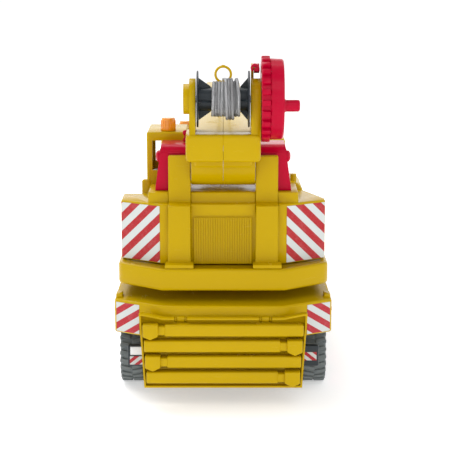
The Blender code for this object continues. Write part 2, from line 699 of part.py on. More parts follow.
def make_leg(index):
    """A beam with a pointed foot block at one end, turned end for end with each leg down the rack."""
    z = RACK_TOP - RACK_RIM - 0.0015 - LEG_PITCH * (index + 0.5)
    side = -1 if index % 2 == 0 else 1
    share = (RACK_TOP - z + FOOT_DROP) / RACK_HEIGHT
    half = RACK_HALF_TOP + (RACK_HALF_BOTTOM - RACK_HALF_TOP) * share - RACK_RIM - 0.0006
    back = RACK_BACK_Y - RACK_FLOOR - CLEARANCE
    face = -HALF_LENGTH + 0.0025
    neck, ridge, shoulder = half - 0.0190, half - 0.0065, half - 0.0130
    beam = [(neck, back), (neck, face), (-half + 0.001, face), (-half, face + 0.004), (-half, back)]
    foot = [(half, back), (half, face + 0.004), (ridge, -HALF_LENGTH), (shoulder, face + 0.001)]
    foot += [(neck - 0.0015, face + 0.003), (neck - 0.0015, back)]
    bead, bead_half = neck - 0.003, LEG_HEIGHT * 0.42
    front = [(half, z + FOOT_RISE), (half, z - FOOT_DROP * 0.55), (ridge, z - FOOT_DROP)]
    front += [(shoulder, z - bead_half), (bead, z - bead_half)]
    front += [(bead, z + bead_half), (shoulder, z + bead_half), (shoulder, z + FOOT_RISE)]
    beam, foot, front = ([(side * x, other) for x, other in outline] for outline in (beam, foot, front))
    name, low, high = f"outrigger_leg_{index + 1}", z - LEG_HEIGHT / 2, z + LEG_HEIGHT / 2
    leg = bevel(prism(name, beam, "Z", low, high), 0.0022, 1)
    block = prism("foot", foot, "Z", z - FOOT_DROP - 0.001, z + FOOT_RISE + 0.001)
    combine(block, "INTERSECT", [prism("foot_front", front, "Y", -HALF_LENGTH - 0.01, back + 0.01)])
    return fuse(leg, block)


# ---------------------------------------------------------------- turntable and what stands on it


TURN_TAIL_HALF = 0.052


def turntable_outline():
    """Plan of the turntable: chamfered at the tail, narrower at the front, and round at every corner."""
    rear, shoulder = REAR_Y + 0.010, REAR_Y + 0.038
    waist, front = REAR_Y + 0.215, REAR_Y + 0.245
    half, nose = TURN_HALF_WIDTH, TURN_HALF_WIDTH - 0.020
    right = [(TURN_TAIL_HALF, rear)]
    right += rounded((TURN_TAIL_HALF, rear), (half, shoulder), (half, waist), TURN_ROUND)
    right += rounded((half, shoulder), (half, waist), (nose, front), TURN_ROUND)
    right += rounded((half, waist), (nose, front), (-nose, front), TURN_ROUND / 2)
    return right + [(-x, y) for x, y in reversed(right)]


def make_turntable_deck():
    """A tray that turns on a spigot through the slew ring."""
    outline = turntable_outline()
    deck = bevel(prism("turntable_deck", outline, "Z", TURN_BOTTOM, TURN_TOP), 0.0022)
    under = TURN_TOP - TURN_PLATE
    cut(deck, prism("turntable_hollow", inset(outline, WALL + 0.001), "Z", TURN_BOTTOM - 0.01, under))
    return fuse(deck, rod("spigot", "Z", (0, SLEW_Y, 0), SPIGOT_RADIUS, DECK_TOP + 0.001, under + 0.002, 32))


HOUSING_REAR_Y = REAR_Y + 0.030
HOUSING_BACK_HALF = 0.0527
PILLAR_FRONT_Y = REAR_Y + 0.0447
PILLAR_REAR_Y = REAR_Y + 0.024
PILLAR_UPPER_Y = REAR_Y + 0.036
RAISED_REAR_Y = REAR_Y + 0.038
RAISED_FRONT_Y = COVER_FRONT_Y + 0.001
NOTCH_Z = HOUSING_TOP - 0.007


def housing_outline():
    """Plan of the counterweight housing: chamfered corners at the back, and a longer wing on the right."""
    half = HOUSING_HALF_WIDTH
    wing = REAR_Y + 0.105
    return [
        (-half, REAR_Y + 0.052),
        (-HOUSING_BACK_HALF, HOUSING_REAR_Y),
        (HOUSING_BACK_HALF, HOUSING_REAR_Y),
        (half, REAR_Y + 0.052),
        (half, REAR_Y + 0.062),
        (half - 0.016, wing),
        (-0.026, wing),
        (-0.026, RAISED_FRONT_Y),
        (-half, RAISED_FRONT_Y),
    ]


def make_counterweight():
    low = TURN_TOP + CLEARANCE
    housing = bevel(prism("counterweight_housing", housing_outline(), "Z", low, HOUSING_TOP), 0.0015)
    raised = [(-RAISED_HALF, RAISED_REAR_Y), (RAISED_HALF, RAISED_REAR_Y)]
    raised += [(RAISED_HALF, RAISED_FRONT_Y - 0.001), (-RAISED_HALF, RAISED_FRONT_Y - 0.001)]
    fuse(housing, bevel(prism("raised_deck", raised, "Z", HOUSING_TOP - 0.002, RAISED_TOP), 0.0015))
    hollow = inset(housing_outline(), WALL)
    cut(housing, prism("housing_hollow", hollow, "Z", low - 0.01, HOUSING_TOP - 0.003))
    for side in SIDES.values():
        x = side_span(side, PILLAR_IN - CLEARANCE, PILLAR_OUT + CLEARANCE)
        notch_y = (HOUSING_REAR_Y - 0.002, PILLAR_FRONT_Y + CLEARANCE)
        cut(housing, box("pillar_notch", x, notch_y, (NOTCH_Z, RAISED_TOP + 0.002)))
    return housing


def make_grille():
    """A panel of upright ribs let in between the pillars."""
    ribs, pitch = 24, 0.00204
    back, floor, crest = HOUSING_REAR_Y - CLEARANCE, HOUSING_REAR_Y - 0.0014, HOUSING_REAR_Y - 0.0024
    half = ribs * pitch / 2
    outline = [(half, back), (-half, back)]
    for i in range(ribs):
        x = -half + i * pitch
        outline += [(x, crest), (x + pitch * 0.5, crest)]
        outline += [(x + pitch * 0.55, floor), (x + pitch * 0.95, floor)]
    outline.append((half, floor))
    return prism("grille_panel", outline, "Z", TURN_TOP + 0.001, TURN_TOP + 0.041)


def make_pillar(name, side):
    """An upright whose foot stands proud of the housing and whose head reaches over the raised deck."""
    pad_top = TURN_TOP + CLEARANCE + 0.003
    foot_front = HOUSING_REAR_Y - CLEARANCE
    outline = [
        (PILLAR_REAR_Y, TURN_TOP + CLEARANCE),
        (foot_front, TURN_TOP + CLEARANCE),
        (foot_front, NOTCH_Z + CLEARANCE),
        (PILLAR_FRONT_Y, NOTCH_Z + CLEARANCE),
        (PILLAR_FRONT_Y, PILLAR_TOP),
        (PILLAR_UPPER_Y, PILLAR_TOP),
        (PILLAR_UPPER_Y, HOUSING_TOP + 0.001),
        (PILLAR_REAR_Y, HOUSING_TOP - 0.0005),
    ]
    start, end = side_span(side, PILLAR_IN, PILLAR_OUT)
    pillar = bevel(prism(f"pillar_{name}", outline, "X", start, end), 0.0006, 1)
    pad = (PILLAR_REAR_Y - 0.012, foot_front)
    pad_x = side_span(side, PILLAR_IN - 0.0025, PILLAR_OUT + 0.0025)
    return fuse(pillar, box("pad", pad_x, pad, (TURN_TOP + CLEARANCE, pad_top)))


def make_pivot_cover(name, side):
    """The red side bracket that carries one end of the boom's pivot pin."""
    low = RAISED_TOP + CLEARANCE
    outline = [(COVER_IN, low), (COVER_BOTTOM_OUT, low), (COVER_TOP_OUT, COVER_TOP - 0.004)]
    outline += [(COVER_TOP_OUT - 0.003, COVER_TOP), (COVER_IN, COVER_TOP)]
    outline = [(side * x, z) for x, z in outline]
    cover = bevel(prism(f"pivot_cover_{name}", outline, "Y", COVER_REAR_Y, COVER_FRONT_Y), 0.002)
    start, end = side_span(side, 0.02, 0.09)
    return cut(cover, rod("pin_hole", "X", (0, PIVOT_Y, PIVOT_Z), PIVOT_RADIUS + CLEARANCE, start, end, 20))


def make_pivot_pin():
    half = COVER_BOTTOM_OUT - 0.0015
    return bevel(rod("boom_pivot_pin", "X", (0, PIVOT_Y, PIVOT_Z), PIVOT_RADIUS, -half, half, 20), 0.0008, 1)


OPERATOR_OUT = 0.0674
OPERATOR_IN = BOOM_HALF + 0.008
OPERATOR_REAR_Y = RAISED_FRONT_Y + 0.002
OPERATOR_FRONT_Y = OPERATOR_REAR_Y + 0.062
OPERATOR_TOP = TURN_TOP + 0.106
OPERATOR_SILL = 0.0725
OPERATOR_DOOR_REAR_Y = OPERATOR_REAR_Y + 0.006
OPERATOR_DOOR_FRONT_Y = OPERATOR_FRONT_Y - 0.008


def make_operator_cab():
    """A boxy cab with open windows on a wider rear corner box."""
    low = TURN_TOP + CLEARANCE
    sill = TURN_TOP + OPERATOR_SILL
    head = OPERATOR_TOP - 0.0075
    x, y = (-OPERATOR_OUT, -OPERATOR_IN), (OPERATOR_REAR_Y, OPERATOR_FRONT_Y)
    cab = bevel(box("operator_cab", x, y, (low, OPERATOR_TOP)), 0.0012, 1)
    hollow_x, hollow_y = (x[0] + WALL, x[1] - WALL), (y[0] + WALL, y[1] - WALL)
    cut(cab, box("operator_hollow", hollow_x, hollow_y, (low + 0.004, OPERATOR_TOP - WALL)))
    window_x, through_y = (x[0] + 0.0048, x[1] - 0.0048), (y[0] - 0.01, y[1] + 0.01)
    cut(cab, box("operator_windows", window_x, through_y, (sill, head)))
    through_x, window_y = (x[1] - 0.01, x[1] + 0.01), (y[0] + 0.006, y[1] - 0.008)
    cut(cab, box("operator_side_window", through_x, window_y, (sill, head)))
    door_y = (OPERATOR_DOOR_REAR_Y, OPERATOR_DOOR_FRONT_Y)
    cut(cab, box("operator_door_opening", (x[0] - 0.01, x[0] + 0.01), door_y, (low + 0.006, head)))
    corner_x, corner_y = (x[0] - 0.0046, x[0] + 0.004), (y[0] - 0.0012, y[0] + 0.0046)
    fuse(cab, bevel(box("corner_box", corner_x, corner_y, (low + 0.002, TURN_TOP + 0.064)), 0.002))
    return cab


def make_operator_door():
    x = (-OPERATOR_OUT, -OPERATOR_OUT + DOOR_THICKNESS)
    y = (OPERATOR_DOOR_REAR_Y + CLEARANCE, OPERATOR_DOOR_FRONT_Y - CLEARANCE)
    z = (TURN_TOP + 0.006 + 2 * CLEARANCE, OPERATOR_TOP - 0.0075 - CLEARANCE)
    door = box("operator_door", x, y, z)
    window_y = (y[0] + 0.005, y[1] - 0.005)
    window_z = (TURN_TOP + OPERATOR_SILL, z[1] - 0.005)
    cut(door, box("operator_door_window", (x[0] - 0.01, x[1] + 0.01), window_y, window_z))
    return door


def make_hydraulic_tank():
    """A round tank lying along the right side on a saddle, with a filler cap on top."""
    x, z, radius = 0.0615, TURN_TOP + 0.048, 0.0107
    rear = REAR_Y + 0.107
    tank = bevel(rod("hydraulic_tank", "Y", (x, 0, z), radius, rear, rear + 0.055, 28), 0.0020)
    saddle = (TURN_TOP + CLEARANCE, z - radius * 0.6)
    fuse(tank, box("saddle", (x - 0.008, x + 0.008), (rear + 0.006, rear + 0.048), saddle))
    filler = (x + 0.002, rear + 0.010, 0)
    return fuse(tank, rod("filler", "Z", filler, 0.0029, z + radius - 0.003, z + radius + 0.006, 16))


def make_release_lever():
    """A small lever with a ball on top, on a cross barrel over the left cover."""
    x, y, z = -(COVER_IN + 0.0022), PIVOT_Y + 0.014, COVER_TOP + 0.0021
    lever = rod("release_lever", "X", (0, y, z), 0.0017, x - 0.0018, x + 0.0018, 12)
    fuse(lever, rod("stem", "Z", (x, y, 0), 0.0010, z, z + 0.0050, 10))
    ball = (x, y, z + 0.0062)
    bpy.ops.mesh.primitive_uv_sphere_add(segments=10, ring_count=6, radius=0.0025, location=ball)
    ball = into(bpy.context.object, PARTS)
    return fuse(lever, ball), (x, y, z)


# ---------------------------------------------------------------- boom

PAWL_Y = WINCH_Y + 0.010
PAWL_Z = WINCH_Z + 0.0245
PAWL_PIN = 0.0016
PAWL_IN = CHEEK_IN + 0.0026
TAB_OUTER, TAB_INNER = 0.0036, 0.0018
STAGE_OVERLAP = 0.180
INNER_REAR_Y = OUTER_STAGE_FRONT - STAGE_OVERLAP
LEFT_CHEEK_OUT = CHEEK_IN + LEFT_CHEEK_THICKNESS
SHELF_REACH = BLOCK_LENGTH + 0.018


def make_boom_shell(name, side):
    """Half of the outer stage, split down the middle: box section, round heel, end block, winch cheek."""
    reach = BLOCK_HALF + 0.02
    stage_y = (REAR_Y + BLOCK_LENGTH - 0.004, OUTER_STAGE_FRONT)
    shell = box(f"boom_shell_{name}", (-BOOM_HALF, BOOM_HALF), stage_y, (BOOM_BOTTOM, BOOM_TOP))
    bevel(shell, 0.0015, 1)
    block_y = (REAR_Y, REAR_Y + BLOCK_LENGTH)
    block = box("end_block", (-BLOCK_HALF, BLOCK_HALF), block_y, (PIVOT_Z + 0.002, BOOM_TOP))
    fuse(shell, bevel(block, 0.003, 3))
    fuse(shell, rod("heel", "X", (0, PIVOT_Y, PIVOT_Z), HEEL_RADIUS, -HEEL_HALF, HEEL_HALF, 40))
    start, end = side_span(side, CHEEK_IN, CHEEK_OUT if side > 0 else LEFT_CHEEK_OUT)
    foot = BOOM_TOP - 0.012
    cheek = [(REAR_Y + 0.002, foot), (REAR_Y + SHELF_REACH, foot), (WINCH_Y + CHEEK_RADIUS, WINCH_Z - 0.004)]
    cheek += circle((WINCH_Y, WINCH_Z), CHEEK_RADIUS, 0, 180, 16)
    cheek.append((WINCH_Y - CHEEK_RADIUS, WINCH_Z - 0.004))
    fuse(shell, prism("cheek", cheek, "X", start, end))
    # The cheeks stand wider than the box section, so a shelf joins them to it ahead of the block.
    shelf_x, shelf_y = side_span(side, BOOM_HALF - 0.002, CHEEK_OUT), (REAR_Y + 0.004, REAR_Y + SHELF_REACH)
    fuse(shell, box("shelf", shelf_x, shelf_y, (foot, BOOM_TOP - 0.0002)))
    if side < 0:
        boss = (-CHEEK_OUT - 0.0022, -LEFT_CHEEK_OUT + 0.001)
        fuse(shell, rod("axle_boss", "X", (0, WINCH_Y, WINCH_Z), AXLE_BOSS_RADIUS, *boss, 32))
    else:
        ear = [(PAWL_Y - 0.004, WINCH_Z + 0.006), (PAWL_Y + 0.004, WINCH_Z + 0.006)]
        ear += circle((PAWL_Y, PAWL_Z), 0.0040, 0, 180, 8)
        fuse(shell, prism("pawl_ear", ear, "X", CHEEK_IN + 0.0002, PAWL_IN - CLEARANCE))
        pin = (CHEEK_IN + 0.001, CHEEK_OUT - 0.0006)
        fuse(shell, rod("pawl_pin", "X", (0, PAWL_Y, PAWL_Z), PAWL_PIN, *pin, 12))
    hollow_half = BOOM_HALF - BOOM_WALL
    hollow_y = (COVER_FRONT_Y - 0.005, OUTER_STAGE_FRONT + 0.01)
    hollow_z = (BOOM_BOTTOM + BOOM_WALL, BOOM_TOP - BOOM_WALL)
    cut(shell, box("stage_hollow", (-hollow_half, hollow_half), hollow_y, hollow_z))
    cut(shell, rod("pivot_bore", "X", (0, PIVOT_Y, PIVOT_Z), PIVOT_RADIUS + CLEARANCE, -0.05, 0.05, 20))
    axle_hole = side_span(side, CHEEK_IN - 0.01, CHEEK_OUT + (0.01 if side > 0 else -0.001))
    cut(shell, rod("axle_hole", "X", (0, WINCH_Y, WINCH_Z), WINCH_AXLE_RADIUS + CLEARANCE, *axle_hole, 16))
    far_half = (-reach, SEAM) if side > 0 else (-SEAM, reach)
    everything = (REAR_Y - 0.05, OUTER_STAGE_FRONT + 0.05)
    return cut(shell, box("other_half", far_half, everything, (0, 1)))


def make_boom_inner():
    """The sliding stage, with a fork for the sheave at its nose."""
    z = (INNER_BOTTOM, INNER_TOP)
    stage_y = (INNER_REAR_Y, SHEAVE_Y - 0.0165)
    stage = bevel(box("boom_inner", (-INNER_HALF, INNER_HALF), stage_y, z), 0.001, 1)
    head_y, head_z = (SHEAVE_Y - 0.020, SHEAVE_Y + 0.0075), (SHEAVE_Z - 0.0105, SHEAVE_Z + 0.0110)
    head = box("head", (-0.012, 0.012), head_y, head_z)
    fuse(stage, bevel(head, 0.003))
    slot_half = SHEAVE_HALF + 0.0010
    slot_y, slot_z = (SHEAVE_Y - 0.0235, SHEAVE_Y + 0.02), (SHEAVE_Z - 0.02, SHEAVE_Z + 0.02)
    cut(stage, box("fork_slot", (-slot_half, slot_half), slot_y, slot_z))
    bore = 0.0020 + CLEARANCE
    return cut(stage, rod("sheave_pin_hole", "X", (0, SHEAVE_Y, SHEAVE_Z), bore, -0.02, 0.02, 14))


def make_head_sheave():
    groove, rim, half, bore = SHEAVE_GROOVE, SHEAVE_RADIUS, SHEAVE_HALF, 0.0020 + CLEARANCE
    flat = CORD_RADIUS + CLEARANCE
    profile = [(rim, half), (rim, half - 0.0010), (groove, flat), (groove, -flat)]
    profile += [(rim, -half + 0.0010), (rim, -half), (bore, -half), (bore, half)]
    return turned("head_sheave", profile, "X", (0, SHEAVE_Y, SHEAVE_Z), 18)


def make_guide_ring():
    bpy.ops.mesh.primitive_torus_add(
        major_radius=RING_MAJOR,
        minor_radius=RING_MINOR,
        major_segments=20,
        minor_segments=6,
        location=(0, RING_Y, RING_Z),
        rotation=(math.pi / 2, 0, 0),
    )
    ring = into(bpy.context.object, PARTS)
    ring.name = "guide_ring"
    return ring


# ---------------------------------------------------------------- winch

GEAR_THICKNESS = 0.0077


def make_drum():
    bore, half, flange = WINCH_AXLE_RADIUS + CLEARANCE, DRUM_HALF, 0.0025
    profile = [(FLANGE_RADIUS, half), (FLANGE_RADIUS, half - flange), (CORE_RADIUS, half - flange)]
    profile += [(CORE_RADIUS, -half + flange), (FLANGE_RADIUS, -half + flange), (FLANGE_RADIUS, -half)]
    profile += [(bore, -half), (bore, half)]
    return turned("winch_drum", profile, "X", (0, WINCH_Y, WINCH_Z), 24)


def make_winding():
    inner, outer, low, high = CORE_RADIUS + CLEARANCE, WINDING_RADIUS, -0.0100, 0.0140
    profile = [(outer - 0.001, high), (outer, high - 0.002), (outer, low + 0.002), (outer - 0.001, low)]
    profile += [(inner, low), (inner, high)]
    return turned("cord_winding", profile, "X", (0, WINCH_Y, WINCH_Z), 20)


def make_crank_wheel():
    """A toothed flange and a plain rim with a dished face, and a peg to turn it by."""
    root = CRANK_RADIUS - 0.0030
    tooth = math.tau / CRANK_TEETH
    outline = []
    for i in range(CRANK_TEETH):
        for share, radius in ((0.0, root), (0.12, CRANK_RADIUS), (0.44, CRANK_RADIUS), (0.56, root)):
            angle = (i + share) * tooth
            outline.append((WINCH_Y + radius * math.cos(angle), WINCH_Z + radius * math.sin(angle)))
    centre = (0, WINCH_Y, WINCH_Z)
    face = CRANK_IN + GEAR_THICKNESS
    rim = CRANK_RADIUS - 0.0021
    wheel = prism("crank_wheel", outline, "X", CRANK_IN, face)
    fuse(wheel, bevel(rod("rim", "X", centre, rim, face - 0.002, CRANK_OUT, 32), 0.0012, 1))
    cut(wheel, rod("dish", "X", centre, rim - 0.0030, face + 0.0005, CRANK_OUT + 0.01, 32))
    fuse(wheel, rod("hub", "X", centre, 0.008, face - 0.001, CRANK_OUT - 0.004, 20))
    peg_centre = (0, WINCH_Y - 0.025, WINCH_Z - 0.003)
    peg = rod("peg", "X", peg_centre, PEG_RADIUS, face - 0.001, CRANK_OUT + PEG_LENGTH, 18)
    fuse(wheel, bevel(peg, 0.0012))
    bore = WINCH_AXLE_RADIUS + CLEARANCE
    return cut(wheel, rod("crank_bore", "X", centre, bore, CRANK_IN - 0.01, CRANK_OUT - 0.008, 16))


def make_winch_axle():
    start, end = -CHEEK_OUT + 0.0015, CRANK_OUT - 0.009
    return rod("winch_axle", "X", (0, WINCH_Y, WINCH_Z), WINCH_AXLE_RADIUS, start, end, 16)


def make_pawl():
    """A lever on its pin beside the crank wheel's teeth, with a curled finger tab at its tail."""
    x = (PAWL_IN, CHEEK_OUT - 0.0008)
    pawl = rod("ratchet_pawl", "X", (0, PAWL_Y, PAWL_Z), 0.0040, *x, 16)
    tail = PAWL_Y - 0.0150
    fuse(pawl, box("arm", x, (tail, PAWL_Y), (PAWL_Z - 0.0014, PAWL_Z + 0.0014)))
    curl = (x[1] - TAB_OUTER - 0.0002, PAWL_Z + 0.0012)
    outline = circle(curl, TAB_OUTER, -40, 235, 12) + circle(curl, TAB_INNER, 235, -40, 9)
    fuse(pawl, prism("tab", outline, "Y", tail, tail + 0.007))
    bore = PAWL_PIN + CLEARANCE
    return cut(pawl, rod("pawl_bore", "X", (0, PAWL_Y, PAWL_Z), bore, x[0] - 0.001, x[1] + 0.001, 14))


# ---------------------------------------------------------------- cord and hook

HOOK_TOP = PIVOT_Z - 0.055
HOOK_BLOCK_BOTTOM = HOOK_TOP - 0.022


def make_cord_run():
    """From the top of the winding, through the guide ring and over the sheave."""
    start = (0.002, WINCH_Y, WINCH_Z + WINDING_RADIUS + CLEARANCE + CORD_RADIUS)
    ring = (0, RING_Y, CORD_IN_RING_Z)
    arc = [(0, y, z) for y, z in circle((SHEAVE_Y, SHEAVE_Z), CORD_BEND, 78, 0, 8)]
    return tube("cord_run", along(start, ring, 24) + along(ring, arc[0], 4) + arc, CORD_RADIUS)


def make_cord_fall():
    top, bottom = (0, FALL_Y, SHEAVE_Z - CLEARANCE), (0, FALL_Y, HOOK_TOP + CLEARANCE)
    return tube("cord_fall", along(top, bottom, 8) + [bottom], CORD_RADIUS)


def make_hook_block():
    """A weighted block with a plain hook under it, cast in one."""
    y = (FALL_Y - HOOK_HALF_DEPTH, FALL_Y + HOOK_HALF_DEPTH)
    hook = bevel(box("hook_block", (-0.008, 0.008), y, (HOOK_BLOCK_BOTTOM, HOOK_TOP)), 0.003)
    bend, wire = 0.0080, 0.0019
    centre = (0, HOOK_BLOCK_BOTTOM - 0.0055 - bend)
    line = [(0, HOOK_BLOCK_BOTTOM + 0.003), (0, HOOK_BLOCK_BOTTOM - 0.003)]
    line += circle(centre, bend, 90, -200, 16)
    return fuse(hook, tube("hook_wire", [(x, FALL_Y, z) for x, z in line], wire))


# ---------------------------------------------------------------- assembly

truck = pivot("truck_root", (0, 0, 0))
finish(truck, CHARCOAL, make_chassis_frame(), make_rear_bumper(), make_front_bumper())
finish(truck, CHARCOAL, make_fuel_tank(), make_slew_ring())
finish(truck, YELLOW, make_chassis_deck(), make_cab_shell())
finish(truck, CHARCOAL, make_cab_interior())
finish(truck, CLEAR, make_cab_glazing())
for side_name, side_sign in SIDES.items():
    beacon_z = FLOOR_Z + CAB_HEIGHT
    beacon_x, beacon_y = side_sign * 0.045, FRONT_AXLE_Y + 0.003
    finish(truck, AMBER, make_beacon(f"cab_beacon_{side_name}", beacon_x, beacon_y, beacon_z))
    door_place = (side_sign * CAB_HALF_WIDTH, DOOR_FRONT_Y, 0)
    hinge = pivot(f"cab_door_{side_name}_hinge", door_place, truck)
    finish(hinge, YELLOW, make_cab_door(side_name, side_sign))

for axle_name, axle_y in AXLES.items():
    spin = pivot(f"{axle_name}_wheel_spin", (0, axle_y, AXLE_Z), truck)
    axle_piece, rim_pieces, tyre_pieces = make_wheelset(axle_name, axle_y)
    finish(spin, STEEL, axle_piece)
    finish(spin, CRIMSON, *rim_pieces)
    finish(spin, TYRE_BLACK, *tyre_pieces)

rack_hinge = pivot("rack_hinge", (0, HINGE_Y, HINGE_Z), truck)
finish(rack_hinge, YELLOW, make_stow_rack(), *[make_leg(i) for i in range(LEG_COUNT)])

slew = pivot("slew", (0, SLEW_Y, TURN_BOTTOM), truck)
finish(slew, YELLOW, make_turntable_deck(), make_counterweight(), make_grille())
finish(slew, YELLOW, make_operator_cab(), make_hydraulic_tank())
for side_name, side_sign in SIDES.items():
    finish(slew, YELLOW, make_pillar(side_name, side_sign))
    finish(slew, CRIMSON, make_pivot_cover(side_name, side_sign))
finish(slew, CHARCOAL, make_pivot_pin())
finish(slew, AMBER, make_beacon("operator_beacon", -0.0487, OPERATOR_REAR_Y + 0.012, OPERATOR_TOP))
lever_piece, lever_place = make_release_lever()
finish(pivot("release_lever_hinge", lever_place, slew), CRIMSON, lever_piece)
door_place = (-OPERATOR_OUT, OPERATOR_DOOR_FRONT_Y, 0)
finish(pivot("operator_door_hinge", door_place, slew), YELLOW, make_operator_door())

luff = pivot("boom_luff", (0, PIVOT_Y, PIVOT_Z), slew)
finish(luff, YELLOW, *[make_boom_shell(side_name, side_sign) for side_name, side_sign in SIDES.items()])
finish(luff, CORD_GREY, make_cord_run())
finish(pivot("pawl_hinge", (0, PAWL_Y, PAWL_Z), luff), CRIMSON, make_pawl())
winch = pivot("winch_turn", (0, WINCH_Y, WINCH_Z), luff)
finish(winch, CHARCOAL, make_drum())
finish(winch, CORD_GREY, make_winding())
finish(winch, CRIMSON, make_crank_wheel())
finish(winch, STEEL, make_winch_axle())

extend = pivot("boom_extend", (0, INNER_REAR_Y, INNER_BOTTOM), luff)
finish(extend, YELLOW, make_boom_inner(), make_guide_ring())
finish(extend, STEEL, rod("sheave_pin", "X", (0, SHEAVE_Y, SHEAVE_Z), 0.0020, -0.0135, 0.0135, 14))
finish(pivot("sheave_turn", (0, SHEAVE_Y, SHEAVE_Z), extend), CHARCOAL, make_head_sheave())
hook_swing = pivot("hook_swing", (0, FALL_Y, SHEAVE_Z), extend)
finish(hook_swing, CORD_GREY, make_cord_fall())
finish(pivot("hook_hoist", (0, FALL_Y, HOOK_TOP), hook_swing), CRIMSON, make_hook_block())
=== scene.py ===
"""Looks of a toy crane truck: its pieces' finer surfaces and materials, the light and the camera.

Metres, +Z up, front towards +Y. Pieces follow the order in which the truck is put together.
"""

import json
import math

import bmesh
import bpy
from mathutils import Matrix, Vector


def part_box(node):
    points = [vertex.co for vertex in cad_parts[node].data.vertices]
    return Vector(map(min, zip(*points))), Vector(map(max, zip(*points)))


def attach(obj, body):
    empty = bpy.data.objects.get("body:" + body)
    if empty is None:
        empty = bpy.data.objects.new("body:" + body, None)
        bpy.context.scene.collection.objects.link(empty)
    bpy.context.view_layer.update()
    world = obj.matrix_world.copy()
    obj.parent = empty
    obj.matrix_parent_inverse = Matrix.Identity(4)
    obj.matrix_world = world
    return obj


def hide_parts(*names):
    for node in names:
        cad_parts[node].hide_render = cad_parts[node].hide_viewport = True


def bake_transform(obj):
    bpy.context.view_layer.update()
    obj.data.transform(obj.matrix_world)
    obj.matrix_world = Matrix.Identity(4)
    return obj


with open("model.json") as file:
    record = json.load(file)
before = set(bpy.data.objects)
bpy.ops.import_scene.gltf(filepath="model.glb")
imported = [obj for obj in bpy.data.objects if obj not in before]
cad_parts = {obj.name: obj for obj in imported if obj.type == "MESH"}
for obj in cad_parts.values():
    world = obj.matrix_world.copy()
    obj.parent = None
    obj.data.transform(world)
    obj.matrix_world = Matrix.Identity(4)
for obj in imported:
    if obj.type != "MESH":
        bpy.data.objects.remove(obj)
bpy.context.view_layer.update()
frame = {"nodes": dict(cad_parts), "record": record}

# ---------------------------------------------------------------- studio
# A white table top that runs back out of view, one broad soft light overhead and in front of the truck,
# and a weaker one behind the camera. The camera stands behind the truck, a little above it.


class Signal:
    """What one output of a shader node gives. Arithmetic on it adds Math nodes."""

    def __init__(self, finish, socket):
        self.finish = finish
        self.socket = socket

    def math(self, operation, *values):
        sockets = dict(enumerate((self, *values)))
        return self.finish.node("ShaderNodeMath", {"operation": operation}, sockets)

    def __add__(self, other):
        return self.math("ADD", other)

    def __mul__(self, other):
        return self.math("MULTIPLY", other)

    def __sub__(self, other):
        return self.math("SUBTRACT", other)

    def __rsub__(self, other):
        return (self * -1.0) + other

    def __truediv__(self, other):
        return self.math("DIVIDE", other)

    def __gt__(self, other):
        return self.math("GREATER_THAN", other)

    def __lt__(self, other):
        return self.math("LESS_THAN", other)

    __radd__ = __add__
    __rmul__ = __mul__


class Finish:
    """One material: a Principled shader and the nodes that feed it."""

    def __init__(self, name):
        self.material = bpy.data.materials.new(name)
        self.material.use_nodes = True
        self.tree = self.material.node_tree
        self.shader = self.tree.nodes["Principled BSDF"]

    def plug(self, socket, value):
        if isinstance(value, Signal):
            self.tree.links.new(value.socket, socket)
        else:
            socket.default_value = value

    def node(self, kind, settings=None, sockets=None, output=0):
        """Adds a node, its settings first. A ramp's settings may give its stops."""
        made = self.tree.nodes.new(kind)
        for name, value in (settings or {}).items():
            if name != "stops":
                setattr(made, name, value)
                continue
            ramp = made.color_ramp
            for i, (position, colour) in enumerate(value):
                stop = ramp.elements[i] if i < len(ramp.elements) else ramp.elements.new(position)
                stop.position = position
                stop.color = colour
        for name, value in (sockets or {}).items():
            self.plug(made.inputs[name], value)
        return Signal(self, made.outputs[output])

    def surface(self, **inputs):
        """Sets the shader's inputs, named with _ for each space."""
        for name, value in inputs.items():
            self.plug(self.shader.inputs[name.replace("_", " ")], value)
        return self.material

    def place(self):
        return self.node("ShaderNodeTexCoord", output="Object")

    def noise(self, scale, detail=2.0, stretch=(1.0, 1.0, 1.0), rough=0.5):
        """Noise from 0 to 1 over the piece. stretch squeezes it along each axis."""
        mapped = self.node("ShaderNodeMapping", {}, {"Vector": self.place(), "Scale": stretch})
        sockets = {"Vector": mapped, "Scale": scale, "Detail": detail, "Roughness": rough}
        return self.node("ShaderNodeTexNoise", {}, sockets)

    def mix(self, share, first, second):
        return self.node("ShaderNodeMix", {"data_type": "RGBA"}, {0: share, 6: first, 7: second}, 2)

    def bump(self, height, distance, strength=1.0):
        sockets = {"Height": height, "Distance": distance, "Strength": strength}
        return self.node("ShaderNodeBump", {}, sockets)


def colour(red, green, blue):
    """A display colour, 0 to 255 each, as the light values that shaders take."""
    return (*(((c / 255 + 0.055) / 1.055) ** 2.4 if c > 10 else c / 3295 for c in (red, green, blue)), 1)


def soft_light(name, place, target, size, power):
    data = bpy.data.lights.new(name, "AREA")
    data.size = size
    data.energy = power
    light = bpy.data.objects.new(name, data)
    light.location = place
    light.rotation_euler = (Vector(target) - Vector(place)).to_track_quat("-Z", "Y").to_euler()
    bpy.context.scene.collection.objects.link(light)


table_shape = bmesh.new()
bmesh.ops.create_grid(table_shape, x_segments=1, y_segments=1, size=20)
table_mesh = bpy.data.meshes.new("table_top")
table_shape.to_mesh(table_mesh)
table_shape.free()
paper = Finish("white_paper")
fibres = paper.noise(220.0, 4.0)
paper.surface(
    Base_Color=paper.mix(fibres, (0.93, 0.93, 0.93, 1), (0.95, 0.95, 0.95, 1)),
    Roughness=0.9,
    Specular_IOR_Level=0.1,
    Emission_Color=(1, 1, 1, 1),
    Emission_Strength=0.40,
)
table_mesh.materials.append(paper.material)
table_top = bpy.data.objects.new("table_top", table_mesh)
bpy.context.scene.collection.objects.link(table_top)

